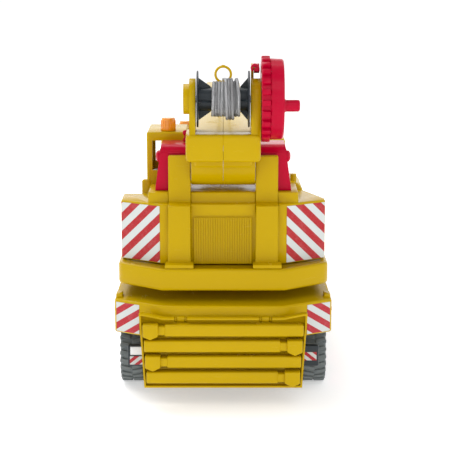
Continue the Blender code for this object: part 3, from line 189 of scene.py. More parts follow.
rear_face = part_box("boom_shell_left")[0].y
VIEW_DOWN = math.radians(11)
VIEW_DISTANCE = 1.10
VIEW_POINT = Vector((0, rear_face, 0.155))
camera_data = bpy.data.cameras.new("camera")
camera_data.lens = 106.8
camera_data.shift_x = 0.004
camera = bpy.data.objects.new("camera", camera_data)
camera.location = VIEW_POINT + VIEW_DISTANCE * Vector((0, -math.cos(VIEW_DOWN), math.sin(VIEW_DOWN)))
camera.rotation_euler = (math.pi / 2 - VIEW_DOWN, 0, 0)
bpy.context.scene.collection.objects.link(camera)
bpy.context.scene.camera = camera
bpy.context.scene.view_settings.view_transform = "Standard"

soft_light("overhead", (-0.7, 0.6, 1.7), (0, 0, 0.1), 1.5, 24.0)
soft_light("fill", (0.5, -1.9, 1.9), (0, 0, 0.1), 1.2, 8.0)

# White walls stand round the table, so that level surfaces shine pale where they mirror them.
world = bpy.data.worlds.new("studio")
world.use_nodes = True
sky = world.node_tree
looking = sky.nodes.new("ShaderNodeTexCoord")
height = sky.nodes.new("ShaderNodeSeparateXYZ")
walls = sky.nodes.new("ShaderNodeMapRange")
walls.interpolation_type = "SMOOTHSTEP"
for socket, value in (("From Min", 0.20), ("From Max", 0.55), ("To Min", 1.5), ("To Max", 0.55)):
    walls.inputs[socket].default_value = value
sky.links.new(looking.outputs["Generated"], height.inputs[0])
sky.links.new(height.outputs["Z"], walls.inputs["Value"])
sky.links.new(walls.outputs["Result"], sky.nodes["Background"].inputs["Strength"])
sky.nodes["Background"].inputs["Color"].default_value = (1, 1, 1, 1)
bpy.context.scene.world = world

# ---------------------------------------------------------------- hoist cord
# Braided grey cord, 2.4 mm thick: wound on the drum in one full layer and a few turns over it, then taut
# through the guide ring and over the boom's nose to the hook. Its route is the one it was laid out on.

CORD_RADIUS = 0.0012
body_of = {n: body for body, nodes in frame["record"]["behaviour"]["bodies"].items() for n in nodes}


def middle(node):
    low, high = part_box(node)
    return (low + high) / 2


def new_object(name, mesh):
    obj = bpy.data.objects.new(name, mesh)
    bpy.context.scene.collection.objects.link(obj)
    return obj


def braid(name, length):
    """Two sets of yarns crossing on the cord's surface, with painted shade darkening the gaps between them
    and a few stray light yarns.
    """
    finish = Finish(name)
    lie = finish.node("ShaderNodeUVMap", {"uv_map": "UVMap"})
    around = finish.node("ShaderNodeSeparateXYZ", {}, {0: lie}, "X")
    along = finish.node("ShaderNodeSeparateXYZ", {}, {0: lie}, "Y")
    turns = along * (length / (3.4 * CORD_RADIUS))
    rights = ((around + turns) * (2 * math.tau)).math("SINE")
    lefts = ((around - turns) * (2 * math.tau)).math("SINE")
    weave_and_gap_shade = rights.math("MAXIMUM", lefts) * 0.5 + 0.5
    stray = finish.noise(900.0, 3.0)
    pale = finish.mix(stray, colour(180, 182, 186), colour(232, 232, 232))
    # The dark colour where the yarns dip is painted shade in the gaps between them; the same weave also
    # gives the bump.
    shade = finish.mix(weave_and_gap_shade, colour(66, 69, 74), pale)
    return finish.surface(
        Base_Color=shade,
        Roughness=0.92,
        Normal=finish.bump(weave_and_gap_shade + stray * 0.4, 0.00045),
        Sheen_Weight=0.25,
    )


def tube(line, radius):
    """A round tube along a line of points. Its UV map goes round the tube, and then along it."""
    curve = bpy.data.curves.new("line", "CURVE")
    curve.dimensions = "3D"
    curve.bevel_depth = radius
    curve.bevel_resolution = 3
    curve.use_fill_caps = True
    spline = curve.splines.new("POLY")
    spline.points.add(len(line) - 1)
    for point, place in zip(spline.points, line):
        point.co = (*place, 1)
    guide = new_object("line", curve)
    mesh = bpy.data.meshes.new_from_object(guide.evaluated_get(bpy.context.evaluated_depsgraph_get()))
    bpy.data.objects.remove(guide)
    shape = bmesh.new()
    shape.from_mesh(mesh)
    bpy.data.meshes.remove(mesh)
    bmesh.ops.remove_doubles(shape, verts=shape.verts, dist=0.000001)
    bmesh.ops.recalc_face_normals(shape, faces=shape.faces)
    return shape


def cord_tube(name, line):
    shape = tube(line, CORD_RADIUS)
    mesh = bpy.data.meshes.new(name)
    shape.to_mesh(mesh)
    shape.free()
    length = sum((Vector(b) - Vector(a)).length for a, b in zip(line, line[1:]))
    mesh.materials.append(braid(name + "_braid", length))
    mesh.shade_smooth()
    mesh.set_sharp_from_angle(angle=math.radians(60))
    return new_object(name, mesh), length


def straight(start, end, steps):
    """Points on a straight run, the first included and the last left out."""
    return [Vector(start).lerp(Vector(end), i / steps) for i in range(steps)]


winding_low, winding_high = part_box("cord_winding")
drum_centre = middle("cord_winding")
FIRST_LAYER = (winding_high.z - winding_low.z) / 2 - CORD_RADIUS
LAYER_RISE = 0.0027
SECOND_LAYER = FIRST_LAYER + LAYER_RISE
TURN_STEPS = 24
layer_start = winding_low.x + CORD_RADIUS
layer_end = winding_high.x - CORD_RADIUS
run_start = (0.002, drum_centre.y, drum_centre.z + SECOND_LAYER)
first_turns = 9
climb, crossing = 0.25, 0.5
second_start = 0.0085
second_turns = (second_start - run_start[0]) / (2 * CORD_RADIUS)
turn_count = first_turns + climb + crossing + second_turns
winding_line = []
for step in range(round(turn_count * TURN_STEPS) + 1):
    turn = step / TURN_STEPS
    layer = min(max((turn - first_turns) / climb, 0), 1)
    radius = FIRST_LAYER + (SECOND_LAYER - FIRST_LAYER) * layer
    crossed = min(max((turn - first_turns - climb) / crossing, 0), 1)
    back = max(turn - first_turns - climb - crossing, 0)
    x = layer_start + (layer_end - layer_start) * min(turn / first_turns, 1)
    x -= (layer_end - second_start) * crossed + back * 2 * CORD_RADIUS
    angle = math.radians(90) + (turn_count - turn) * math.tau
    y, z = drum_centre.y + radius * math.cos(angle), drum_centre.z + radius * math.sin(angle)
    winding_line.append((x, y, z))
winding, winding_length = cord_tube("drum_winding", winding_line)
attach(winding, "winch")
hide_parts("cord_winding")

RUN_STEPS, NOSE_STEPS, NOSE_ANGLE = 24, 8, 78
BELOW_RING_CENTRE = 0.0052
ring_centre = middle("guide_ring")
in_ring = ring_centre - Vector((0, 0, BELOW_RING_CENTRE))
sheave_centre = middle("head_sheave")
cord_fall_low, cord_fall_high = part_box("cord_fall")
fall_y = (cord_fall_low.y + cord_fall_high.y) / 2
over_sheave = fall_y - sheave_centre.y
nose_arc = []
for step in range(NOSE_STEPS + 1):
    angle = math.radians(NOSE_ANGLE * (1 - step / NOSE_STEPS))
    rise = Vector((0, math.cos(angle), math.sin(angle))) * over_sheave
    nose_arc.append(sheave_centre + rise)
run_line = straight(run_start, in_ring, RUN_STEPS) + straight(in_ring, nose_arc[0], 4) + nose_arc
run, run_length = cord_tube("cord_over_boom", run_line)
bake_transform(run)
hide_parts("cord_run")

fall_line = straight((0, fall_y, cord_fall_high.z), (0, fall_y, cord_fall_low.z), 16)
fall_line.append(Vector((0, fall_y, cord_fall_low.z)))
fall, fall_length = cord_tube("cord_to_hook", fall_line)
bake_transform(fall)
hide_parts("cord_fall")

# ---------------------------------------------------------------- chassis frame
# Two rails with cross members and axle bearings, and the slew ring, bumper and tank fixed to them.
# All are moulded in satin charcoal plastic and snapped or screwed together from below.


def moulded(name, main, deep, gloss, grain=0.000006, specular=0.3):
    """Injection-moulded plastic. The flow from the gate shades its colour a little, handling dulls
    the gloss in faint streaks, and the tool's polish leaves a fine grain."""
    finish = Finish(name)
    flow = finish.noise(16.0, 3.0, (1.0, 0.6, 1.5))
    fleck = finish.noise(650.0, 2.0)
    scuffs = finish.noise(55.0, 6.0, (1.0, 0.4, 5.0), 0.7).math("SMOOTH_MAX", 0.60, 0.04) - 0.60
    return finish.surface(
        Base_Color=finish.mix(flow * 1.4 - 0.25 + fleck * 0.06, main, deep),
        Roughness=gloss + scuffs * 0.8 + fleck * 0.05,
        Normal=finish.bump(fleck + flow * 3.0, grain),
        Specular_IOR_Level=specular,
    )


def whole(node):
    """A CAD node's shape, with its loose triangles joined into whole faces."""
    shape = bmesh.new()
    shape.from_mesh(frame["nodes"][node].data)
    bmesh.ops.remove_doubles(shape, verts=shape.verts, dist=0.000005)
    bmesh.ops.dissolve_limit(shape, angle_limit=math.radians(0.3), verts=shape.verts, edges=shape.edges)
    return shape


def soften(shape, radius, steps=2, least=32):
    """Rounds the sharp edges. One too short for its round stays as it is."""
    sharp = []
    for edge in shape.edges:
        folded = edge.is_manifold and edge.calc_face_angle(0) > math.radians(least)
        if folded and edge.calc_length() > 2.1 * radius:
            sharp.append(edge)
    bmesh.ops.bevel(
        shape, geom=sharp, offset=radius, offset_type="OFFSET", segments=steps, profile=0.5,
        affect="EDGES", clamp_overlap=True, material=-1,
    )
    return shape


def joined(first, *others):
    """Adds other shapes to the first one."""
    for other in others:
        mesh = bpy.data.meshes.new("joining")
        other.to_mesh(mesh)
        other.free()
        first.from_mesh(mesh)
        bpy.data.meshes.remove(mesh)
    return first


def block(low, high, radius=0.0004, steps=2):
    """A block with rounded edges between two corners."""
    low, high = (Vector(map(pick, low, high)) for pick in (min, max))
    shape = bmesh.new()
    place = Matrix.Translation((low + high) / 2) @ Matrix.Diagonal((*(high - low), 1))
    bmesh.ops.create_cube(shape, size=1, matrix=place)
    return soften(shape, radius, steps)


AXIS_TURNS = {
    "X": Matrix.Rotation(math.pi / 2, 4, "Y"),
    "-X": Matrix.Rotation(-math.pi / 2, 4, "Y"),
    "Y": Matrix.Rotation(-math.pi / 2, 4, "X"),
    "-Y": Matrix.Rotation(math.pi / 2, 4, "X"),
    "Z": Matrix.Identity(4),
}


def turned(profile, centre, axis, steps=64):
    """A profile of (radius, distance along the axis) turned about it. Off the axis it closes on itself."""
    shape = bmesh.new()
    verts = [shape.verts.new((radius, 0, along)) for radius, along in profile]
    edges = [shape.edges.new(pair) for pair in zip(verts, verts[1:])]
    if profile[0][0] > 0:
        edges.append(shape.edges.new((verts[-1], verts[0])))
    bmesh.ops.spin(
        shape, geom=verts + edges, cent=(0, 0, 0), axis=(0, 0, 1), angle=math.tau, steps=steps,
        use_merge=True,
    )
    bmesh.ops.remove_doubles(shape, verts=shape.verts, dist=0.000002)
    bmesh.ops.recalc_face_normals(shape, faces=shape.faces)
    return placed(shape, Matrix.Translation(centre) @ AXIS_TURNS[axis])


def about_x(centre, angle):
    """A turn about the line along X through the centre, for a shape made at the origin."""
    return Matrix.Translation(centre) @ Matrix.Rotation(angle, 4, "X")


def placed(shape, matrix):
    bmesh.ops.transform(shape, matrix=matrix, verts=shape.verts)
    return shape


def flat(corners, thickness, radius=0.0, steps=2):
    """A plate with the outline's corners, thickened along the side from which they run anticlockwise."""
    shape = bmesh.new()
    face = shape.faces.new([shape.verts.new(corner) for corner in corners])
    face.normal_update()
    push = face.normal * thickness
    moved = bmesh.ops.extrude_face_region(shape, geom=[face])["geom"]
    moved = [item for item in moved if isinstance(item, bmesh.types.BMVert)]
    bmesh.ops.translate(shape, verts=moved, vec=push)
    bmesh.ops.recalc_face_normals(shape, faces=shape.faces)
    return soften(shape, radius, steps) if radius else shape


def piece(name, shape, finish, like, replaces=(), smooth=35):
    """A finished piece that rides on the body of a CAD node, and hides the CAD nodes it is told it
    replaces.
    """
    mesh = bpy.data.meshes.new(name)
    shape.to_mesh(mesh)
    shape.free()
    mesh.materials.append(finish)
    mesh.shade_smooth()
    mesh.set_sharp_from_angle(angle=math.radians(smooth))
    obj = new_object(name, mesh)
    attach(obj, body_of[like])
    if replaces:
        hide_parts(*replaces)
    return obj


def remade(node, finish, radius=0.0, steps=2, extra=(), smooth=35):
    """A CAD node's own shape with whole faces, rounded edges and any extra shapes."""
    shape = whole(node)
    if radius:
        soften(shape, radius, steps)
    return piece("fine_" + node, joined(shape, *extra), finish, node, (node,), smooth=smooth)


charcoal = moulded("charcoal_plastic", colour(50, 57, 61), colour(38, 44, 48), 0.38)
remade("chassis_frame", charcoal, 0.0006)
remade("slew_ring", charcoal, 0.0005)

tank_low, tank_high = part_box("fuel_tank")
STRAP, STRAP_WIDTH = 0.0006, 0.005
FOG_LAMP_X, HEADLAMP_X, HEADLAMP_Z = 0.066, 0.0550, 0.0800
straps = []
for y in (tank_low.y + 0.013, tank_high.y - 0.018):
    strap_low = (tank_low.x, y, tank_low.z - STRAP)
    strap_high = (tank_high.x + STRAP, y + STRAP_WIDTH, tank_high.z + STRAP)
    straps.append(block(strap_low, strap_high, 0.0005))
tank_cap = turned(
    [(0, 0.0035), (0.0052, 0.0035), (0.0060, 0.0027), (0.0060, -0.001), (0, -0.001)],
    (tank_high.x - 0.012, tank_high.y - 0.030, tank_high.z), "Z", 24,
)
remade("fuel_tank", charcoal, 0.0008, extra=[tank_cap])
steel = Finish("drawn_steel")
lines = steel.noise(900.0, 2.0, (0.05, 1.0, 1.0))
steel.surface(
    Base_Color=steel.mix(lines, (0.55, 0.55, 0.56, 1), (0.70, 0.70, 0.71, 1)),
    Roughness=0.24 + lines * 0.2,
    Metallic=1.0,
    Normal=steel.bump(lines, 0.00001),
)
piece("fuel_tank_straps", joined(*straps), steel.material, "fuel_tank")

bumper_low, bumper_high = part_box("front_bumper")
remade("front_bumper", charcoal, 0.0010)
fog_glass = Finish("lamp_glass")
flutes = (fog_glass.node("ShaderNodeSeparateXYZ", {}, {0: fog_glass.place()}, "X") * 2600.0).math("SINE")
fog_glass.surface(
    Base_Color=fog_glass.mix(flutes * 0.5 + 0.5, colour(214, 222, 226), colour(240, 244, 246)),
    Roughness=0.10, Normal=fog_glass.bump(flutes, 0.00015), Coat_Weight=0.6,
)
LAMP_PROFILE = [
    (0, 0.0022), (0.0035, 0.0020), (0.0062, 0.0012), (0.0074, 0.0002), (0.0074, -0.001), (0, -0.001),
]
LAMP_RING = [(0.0074, -0.001), (0.0090, -0.001), (0.0090, 0.0016), (0.0084, 0.0022), (0.0074, 0.0014)]
bumper_middle = (bumper_low.z + bumper_high.z) / 2
lamp_places = [(side * FOG_LAMP_X, bumper_high.y - 0.0002, bumper_middle) for side in (-1, 1)]
lenses = [turned(LAMP_PROFILE, place, "Y", 32) for place in lamp_places]
piece("fog_lamp_lenses", joined(*lenses), fog_glass.material, "front_bumper")
rings = [turned(LAMP_RING, place, "Y", 32) for place in lamp_places]
piece("fog_lamp_rings", joined(*rings), steel.material, "front_bumper")

# ---------------------------------------------------------------- chassis body
# The yellow body is one moulding that drops over the frame, with arches for the wheels, marker lamps
# along its sides and two small lifting ears at its rear corners.

yellow = moulded("yellow_plastic", colour(193, 160, 0), colour(186, 153, 0), 0.22, specular=0.12)
body_low, body_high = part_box("chassis_deck")
deck_front = body_high.y
EAR_IN, EAR_OUT, EAR_REAR, EAR_FRONT, EAR_RISE = 0.0062, 0.0008, 0.030, 0.042, 0.0032
ears = [
    block(
        (side * (body_high.x - EAR_IN), rear_face + EAR_REAR, body_high.z - 0.001),
        (side * (body_high.x - EAR_OUT), rear_face + EAR_FRONT, body_high.z + EAR_RISE), 0.0008,
    )
    for side in (-1, 1)
]
TREAD_ROWS, TREAD_PITCH, TREAD_WIDTH, TREAD_RISE = 9, 0.0085, 0.0030, 0.0009
TREAD_IN, TREAD_OUT, TREAD_START = 0.012, 0.078, 0.012
treads = []
for row in range(TREAD_ROWS):
    y = deck_front - TREAD_START - row * TREAD_PITCH
    for side in (-1, 1):
        tread_low = (side * TREAD_IN, y, body_high.z - 0.0005)
        tread_high = (side * TREAD_OUT, y + TREAD_WIDTH, body_high.z + TREAD_RISE)
        treads.append(block(tread_low, tread_high, 0.0005))
remade("chassis_deck", yellow, 0.0007, extra=ears + treads)

amber = Finish("amber_plastic")
swirl = amber.noise(60.0, 3.0)
amber.surface(
    Base_Color=amber.mix(swirl, colour(232, 140, 2), colour(238, 156, 10)),
    Roughness=0.16 + swirl * 0.1,
    Normal=amber.bump(amber.noise(500.0), 0.00001),
    Subsurface_Weight=0.25,
    Subsurface_Radius=(0.004, 0.002, 0.0004),
    Coat_Weight=0.3,
)
marker_y = [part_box(f"{axle}_axle")[0].y + 0.0025 for axle in ("rear", "middle")]
LAMP_LENGTH, LAMP_FOOT, LAMP_HEAD = 0.007, body_high.z - 0.012, body_high.z - 0.0082
LAMP_SUNK, LAMP_PROUD = 0.001, 0.0007
side_lamps = []
for y in (rear_face + 0.031, (marker_y[0] + marker_y[1]) / 2, -0.052, 0.006, 0.064, 0.112):
    for side in (-1, 1):
        x = side * body_high.x
        lamp_low = (x - side * LAMP_SUNK, y, LAMP_FOOT)
        lamp_high = (x + side * LAMP_PROUD, y + LAMP_LENGTH, LAMP_HEAD)
        side_lamps.append(block(lamp_low, lamp_high, 0.0006))
piece("side_marker_lamps", joined(*side_lamps), amber.material, "chassis_deck")


RED_SHARE = 0.50
FADED_RED, FILM_WHITE = colour(176, 20, 36), colour(202, 206, 204)


def stripes(name, red, pale, slope, period, start):
    """A printed film of slanting red and white bands. slope is how far a band rises for each metre
    to the right, and start is where along the height the first band begins."""
    finish = Finish(name)
    across = finish.node("ShaderNodeSeparateXYZ", {}, {0: finish.place()}, "X")
    up = finish.node("ShaderNodeSeparateXYZ", {}, {0: finish.place()}, "Z")
    band = ((up - across * slope - start) / period).math("FRACT")
    wear = finish.noise(140.0, 6.0, rough=0.7)
    beads = finish.node("ShaderNodeTexVoronoi", {}, {"Vector": finish.place(), "Scale": 900.0})
    shade = finish.mix(band < RED_SHARE, pale, red)
    tired = finish.mix((wear - 0.5) * 0.3, shade, (0.80, 0.78, 0.76, 1))
    return finish.surface(
        Base_Color=finish.mix(beads * 0.05, tired, (0.7, 0.7, 0.7, 1)),
        Roughness=0.30 + wear * 0.25,
        Normal=finish.bump(beads, 0.00001),
        Specular_IOR_Level=0.25,
    )


LABEL, LABEL_GAP = 0.00035, 0.00005
FASCIA_FLAT = 0.050
fascia_corner = rear_face + 0.025


def on_fascia(share, z):
    """A point on the right chamfer of the body's rear face, from its inner edge, 0, to its outer, 1."""
    slope = Vector((fascia_corner - rear_face, -(body_high.x - FASCIA_FLAT), 0)).normalized()
    x = FASCIA_FLAT + (body_high.x - FASCIA_FLAT) * share
    y = rear_face + (fascia_corner - rear_face) * share
    return Vector((x, y, z)) + slope * LABEL_GAP


FILM_IN, FILM_OUT = 0.49, 0.965
for side_name, side in (("left", -1), ("right", 1)):
    film = stripes(f"lower_stripes_{side_name}", FADED_RED, FILM_WHITE, -side * 0.72, 0.0122, 0.0035)
    foot, head = body_low.z + 0.0015, body_high.z - 0.0022
    edges = ((FILM_IN, foot), (FILM_OUT, foot), (FILM_OUT, head), (FILM_IN, head))
    corners = [on_fascia(share, z) for share, z in edges]
    corners = [Vector((side * corner.x, corner.y, corner.z)) for corner in corners]
    label = flat(corners if side > 0 else corners[::-1], LABEL, 0.0001, 1)
    piece(f"lower_striped_label_{side_name}", label, film, "chassis_deck")

# ---------------------------------------------------------------- rear bumper
# A flat charcoal beam under the rails, with a blank white plate on its left and striped films at its ends.

remade("rear_bumper", charcoal, 0.0008)
beam_low, beam_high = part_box("rear_bumper")
FILM_LENGTH, FILM_HEIGHT = 0.0255, 0.0074
left_film = ("left", -1, -0.0800, beam_low.z + 0.0018)
right_film = ("right", 1, 0.0545, beam_low.z + 0.0055)
for side_name, side, x, z in (left_film, right_film):
    film = stripes(f"bumper_stripes_{side_name}", FADED_RED, FILM_WHITE, -side * 0.8, 0.0072, 0.0)
    y = beam_low.y - LABEL
    label = block((x, y, z), (x + FILM_LENGTH, beam_low.y - LABEL_GAP, z + FILM_HEIGHT), 0.0001, 1)
    piece(f"bumper_striped_label_{side_name}", label, film, "rear_bumper")
enamel = Finish("white_enamel")
mottle = enamel.noise(90.0, 4.0)
enamel.surface(
    Base_Color=enamel.mix(mottle, colour(222, 224, 226), colour(236, 237, 238)),
    Roughness=0.28 + mottle * 0.15,
)
PLATE_LEFT, PLATE_RIGHT, PLATE_FOOT, PLATE_HEAD = -0.0795, -0.0475, 0.0086, 0.0004
plate_low = Vector((PLATE_LEFT, beam_low.y - 0.0012, beam_high.z - PLATE_FOOT))
plate_high = Vector((PLATE_RIGHT, beam_low.y - LABEL_GAP, beam_high.z - PLATE_HEAD))
number_plate = block(plate_low, plate_high, 0.0003)
piece("number_plate", number_plate, enamel.material, "rear_bumper")
RIM_WIDTH = 0.0005
plate_rim = []
for z in (plate_low.z, plate_high.z - RIM_WIDTH):
    rim_low = (plate_low.x, plate_low.y - 0.0003, z)
    rim_high = (plate_high.x, plate_low.y + 0.0002, z + RIM_WIDTH)
    plate_rim.append(block(rim_low, rim_high, 0.0001, 1))
piece("number_plate_rim", joined(*plate_rim), charcoal, "rear_bumper")

# ---------------------------------------------------------------- wheels
# Hard grey tyres with block treads, pressed on dished crimson rims. Steel axles run through the
# frame's bearings, and each rim has a hub cap and a ring of nuts.

rubber = Finish("grey_tyre")
dust = rubber.noise(70.0, 5.0, rough=0.65)
pores = rubber.noise(1400.0, 2.0)
rubber.surface(
    Base_Color=rubber.mix(dust, colour(92, 98, 98), colour(120, 126, 126)),
    Roughness=0.62 + dust * 0.2,
    Normal=rubber.bump(pores, 0.00005),
    Specular_IOR_Level=0.35,
)
crimson = moulded("crimson_plastic", colour(190, 0, 47), colour(176, 0, 42), 0.22, specular=0.12)
LUGS, LUG_DEPTH, LUG_GAP, LUG_SKEW = 26, 0.0017, 0.0006, 14
SHOULDER_RIB, SHOULDER_RIB_HALF = 0.0022, 0.0014
HUB_BORE, NUTS, NUT_CIRCLE = 0.0032, 6, 0.0090
for axle in ("front", "middle", "rear"):
    frame["nodes"][f"{axle}_axle"].data.materials.clear()
    frame["nodes"][f"{axle}_axle"].data.materials.append(steel.material)
    for side_name, side in (("left", -1), ("right", 1)):
        low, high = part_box(f"{axle}_tyre_{side_name}")
        centre = (low + high) / 2
        outer, width = (high.z - low.z) / 2, (high.x - low.x) / 2
        tread = outer - LUG_DEPTH
        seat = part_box(f"{axle}_rim_{side_name}")
        bore = (seat[1].z - seat[0].z) / 2 + 0.0003
        wall = [
            (bore, width - 0.0004), (bore + 0.0012, width), (bore + 0.0040, width),
            (tread - 0.0030, width - 0.0004), (tread - 0.0008, width - 0.0016), (tread, width - 0.0036),
        ]
        far_wall = [(reach, -along) for reach, along in reversed(wall)]
        carcass = turned(wall + far_wall, centre, "X", 72)
        lugs = []
        for i in range(2 * LUGS):
            half = 1 if i % 2 else -1
            spin = about_x(centre, math.tau * (i + 0.5) / (2 * LUGS))
            skew = Matrix.Rotation(half * math.radians(LUG_SKEW), 4, "Z")
            lug_low = (half * LUG_GAP, -0.0023, tread - 0.0012)
            lug_high = (half * (width - LUG_GAP), 0.0010, outer - 0.0002)
            lugs.append(placed(block(lug_low, lug_high, 0.0004, 1), spin @ skew))
            rib_low = (half * (width - SHOULDER_RIB), -SHOULDER_RIB_HALF, tread - 0.0060)
            rib_high = (half * width, SHOULDER_RIB_HALF, outer - 0.0014)
            lugs.append(placed(block(rib_low, rib_high, 0.0003, 1), spin))
        node = f"{axle}_tyre_{side_name}"
        piece("fine_" + node, joined(carcass, *lugs), rubber.material, node, (node,))

        node = f"{axle}_rim_{side_name}"
        low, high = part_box(node)
        radius, half = (high.z - low.z) / 2, (high.x - low.x) / 2
        centre, outward = (low + high) / 2, "X" if side > 0 else "-X"
        dish = [
            (radius, half - 0.0002), (radius, -half), (HUB_BORE, -half), (HUB_BORE, half - 0.0075),
            (radius - 0.0066, half - 0.0078), (radius - 0.0048, half - 0.0052),
            (radius - 0.0032, half - 0.0042), (radius - 0.0026, half - 0.0008), (radius - 0.0018, half),
        ]
        rim = turned(dish, centre, outward, 64)
        cap = [
            (0, half - 0.0018), (0.0030, half - 0.0020), (0.0042, half - 0.0030), (0.0050, half - 0.0060),
            (0.0062, half - 0.0078), (0.0062, half - 0.0085), (0, half - 0.0085),
        ]
        hub = turned(cap, centre, outward, 40)
        nut = [
            (0, half - 0.0056), (0.0009, half - 0.0057), (0.0014, half - 0.0064), (0.0014, half - 0.0082),
            (0, half - 0.0082),
        ]
        nuts = []
        for i in range(NUTS):
            angle = math.tau * i / NUTS
            place = centre + Vector((0, NUT_CIRCLE * math.cos(angle), NUT_CIRCLE * math.sin(angle)))
            nuts.append(turned(nut, place, outward, 6))
        piece("fine_" + node, joined(rim, hub, *nuts), crimson, node, (node,))

# ---------------------------------------------------------------- driver's cab
# A yellow shell over a charcoal interior, with two hinged doors and clear windows clipped in from
# behind. Lamps, grille bars, mirrors, wipers and beacons are small pieces pressed into it.

remade("cab_shell", yellow, 0.0009)
remade("cab_interior", charcoal, 0.0012, 3)
clear = Finish("clear_plastic")
haze = clear.noise(40.0, 4.0)
clear.surface(
    Base_Color=clear.mix(haze, (0.80, 0.86, 0.88, 1), (0.88, 0.92, 0.93, 1)),
    Roughness=0.05 + haze * 0.06,
    Alpha=0.30 + haze * 0.08,
    Coat_Weight=0.5,
)
remade("cab_glazing", clear.material)
cab_low, cab_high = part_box("cab_shell")

PANE_HALF, PANE_FOOT, PANE_HEAD = 0.052, 0.124, 0.166
pane_outline = (
    (-PANE_HALF, PANE_FOOT), (PANE_HALF, PANE_FOOT), (PANE_HALF, PANE_HEAD), (-PANE_HALF, PANE_HEAD),
)
rear_pane = flat([(x, cab_low.y + 0.0028, z) for x, z in pane_outline], 0.0010, 0.0002, 1)
piece("cab_rear_pane", rear_pane, clear.material, "cab_shell")
PANEL_HEAD, HANDLE_FOOT, HANDLE_HEAD, DOOR_PANE_FOOT = 0.1085, 0.1135, 0.1170, 0.1185
MIRROR_IN, MIRROR_OUT, MIRROR_FOOT, MIRROR_HEAD = 0.0710, 0.0765, 0.1290, 0.1480
arm_y = cab_high.y - 0.0405
for side_name, side in (("left", -1), ("right", 1)):
    node = f"cab_door_{side_name}"
    low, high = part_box(node)
    outer_x = high.x if side > 0 else low.x
    handle = block(
        (outer_x - side * 0.0005, low.y + 0.006, HANDLE_FOOT),
        (outer_x + side * 0.0022, low.y + 0.020, HANDLE_HEAD), 0.0009, 3,
    )
    panel = block(
        (outer_x - side * 0.0006, low.y + 0.007, low.z + 0.010),
        (outer_x + side * 0.0007, high.y - 0.009, PANEL_HEAD), 0.0005,
    )
    remade(node, yellow, 0.0006, extra=[panel])
    piece(f"door_handle_{side_name}", handle, charcoal, node)
    inner_x = outer_x - side * 0.0016
    pane = block(
        (inner_x, low.y + 0.0045, DOOR_PANE_FOOT),
        (inner_x - side * 0.0006, high.y - 0.0055, high.z - 0.0055), 0.0001, 1,
    )
    piece(f"door_pane_{side_name}", pane, clear.material, node)

    arm = [(side * x, y, z) for x, y, z in (
        (0.0692, arm_y - 0.003, 0.1560), (0.0712, arm_y - 0.001, 0.1575), (0.0734, arm_y + 0.001, 0.1560),
        (0.0738, arm_y + 0.001, 0.1460),
    )]
    piece(f"mirror_arm_{side_name}", tube(arm, 0.0009), charcoal, "cab_shell")
    mirror = block(
        (side * MIRROR_IN, arm_y - 0.001, MIRROR_FOOT),
        (side * MIRROR_OUT, arm_y + 0.004, MIRROR_HEAD), 0.0014, 3,
    )
    piece(f"mirror_{side_name}", mirror, charcoal, "cab_shell")
    glass = block(
        (side * (MIRROR_IN + 0.0007), arm_y - 0.0013, MIRROR_FOOT + 0.0012),
        (side * (MIRROR_OUT - 0.0007), arm_y - 0.0008, MIRROR_HEAD - 0.0012), 0.0002, 1,
    )
    piece(f"mirror_glass_{side_name}", glass, steel.material, "cab_shell")

BARS, BAR_FOOT, BAR_PITCH, BAR_RISE, BAR_HALF = 5, 0.0680, 0.0065, 0.0032, 0.040
bars = []
for i in range(BARS):
    bar_low = (-BAR_HALF, cab_high.y - 0.0035, BAR_FOOT + i * BAR_PITCH)
    bar_high = (BAR_HALF, cab_high.y + 0.0002, BAR_FOOT + i * BAR_PITCH + BAR_RISE)
    bars.append(block(bar_low, bar_high, 0.0008))
backing_low = (-BAR_HALF - 0.003, cab_high.y - 0.0045, BAR_FOOT - 0.0035)
backing_high = (BAR_HALF + 0.003, cab_high.y - 0.0012, 0.1005)
bars.append(block(backing_low, backing_high, 0.0010))
piece("cab_grille_bars", joined(*bars), charcoal, "cab_shell")
lamp_places = [(side * HEADLAMP_X, cab_high.y - 0.0016, HEADLAMP_Z) for side in (-1, 1)]
lenses = [turned(LAMP_PROFILE, place, "Y", 32) for place in lamp_places]
piece("headlamp_lenses", joined(*lenses), fog_glass.material, "cab_shell")
rings = [turned(LAMP_RING, place, "Y", 32) for place in lamp_places]
piece("headlamp_rings", joined(*rings), steel.material, "cab_shell")
INDICATOR_IN, INDICATOR_OUT, INDICATOR_FOOT, INDICATOR_HEAD = 0.0520, 0.0625, 0.0930, 0.0975
indicators = [
    block(
        (side * INDICATOR_IN, cab_high.y - 0.0030, INDICATOR_FOOT),
        (side * INDICATOR_OUT, cab_high.y, INDICATOR_HEAD), 0.0008,
    )
    for side in (-1, 1)
]
piece("cab_indicators", joined(*indicators), amber.material, "cab_shell")
glazing_low, glazing_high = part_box("cab_glazing")
WIPER_REACH = Vector((0.034, -0.0100, 0.0200))
wipers = []
for x in (-0.046, 0.010):
    foot = Vector((x, glazing_high.y + 0.0012, glazing_low.z + 0.001))
    head = foot + WIPER_REACH
    wipers.append(tube([foot + Vector((0, 0.001, -0.003)), foot, foot.lerp(head, 0.5), head], 0.0006))
piece("wipers", joined(*wipers), charcoal, "cab_shell")
RIB_WIDTH = 0.004
roof_ribs = []
for x in (-0.056, -0.022, -0.002, 0.018, 0.052):
    rib_low = (x, cab_low.y + 0.010, cab_high.z - 0.0006)
    rib_high = (x + RIB_WIDTH, cab_high.y - 0.052, cab_high.z + 0.0009)
    roof_ribs.append(block(rib_low, rib_high, 0.0006))
piece("cab_roof_ribs", joined(*roof_ribs), yellow, "cab_shell")


BEACON_RIBS = 16


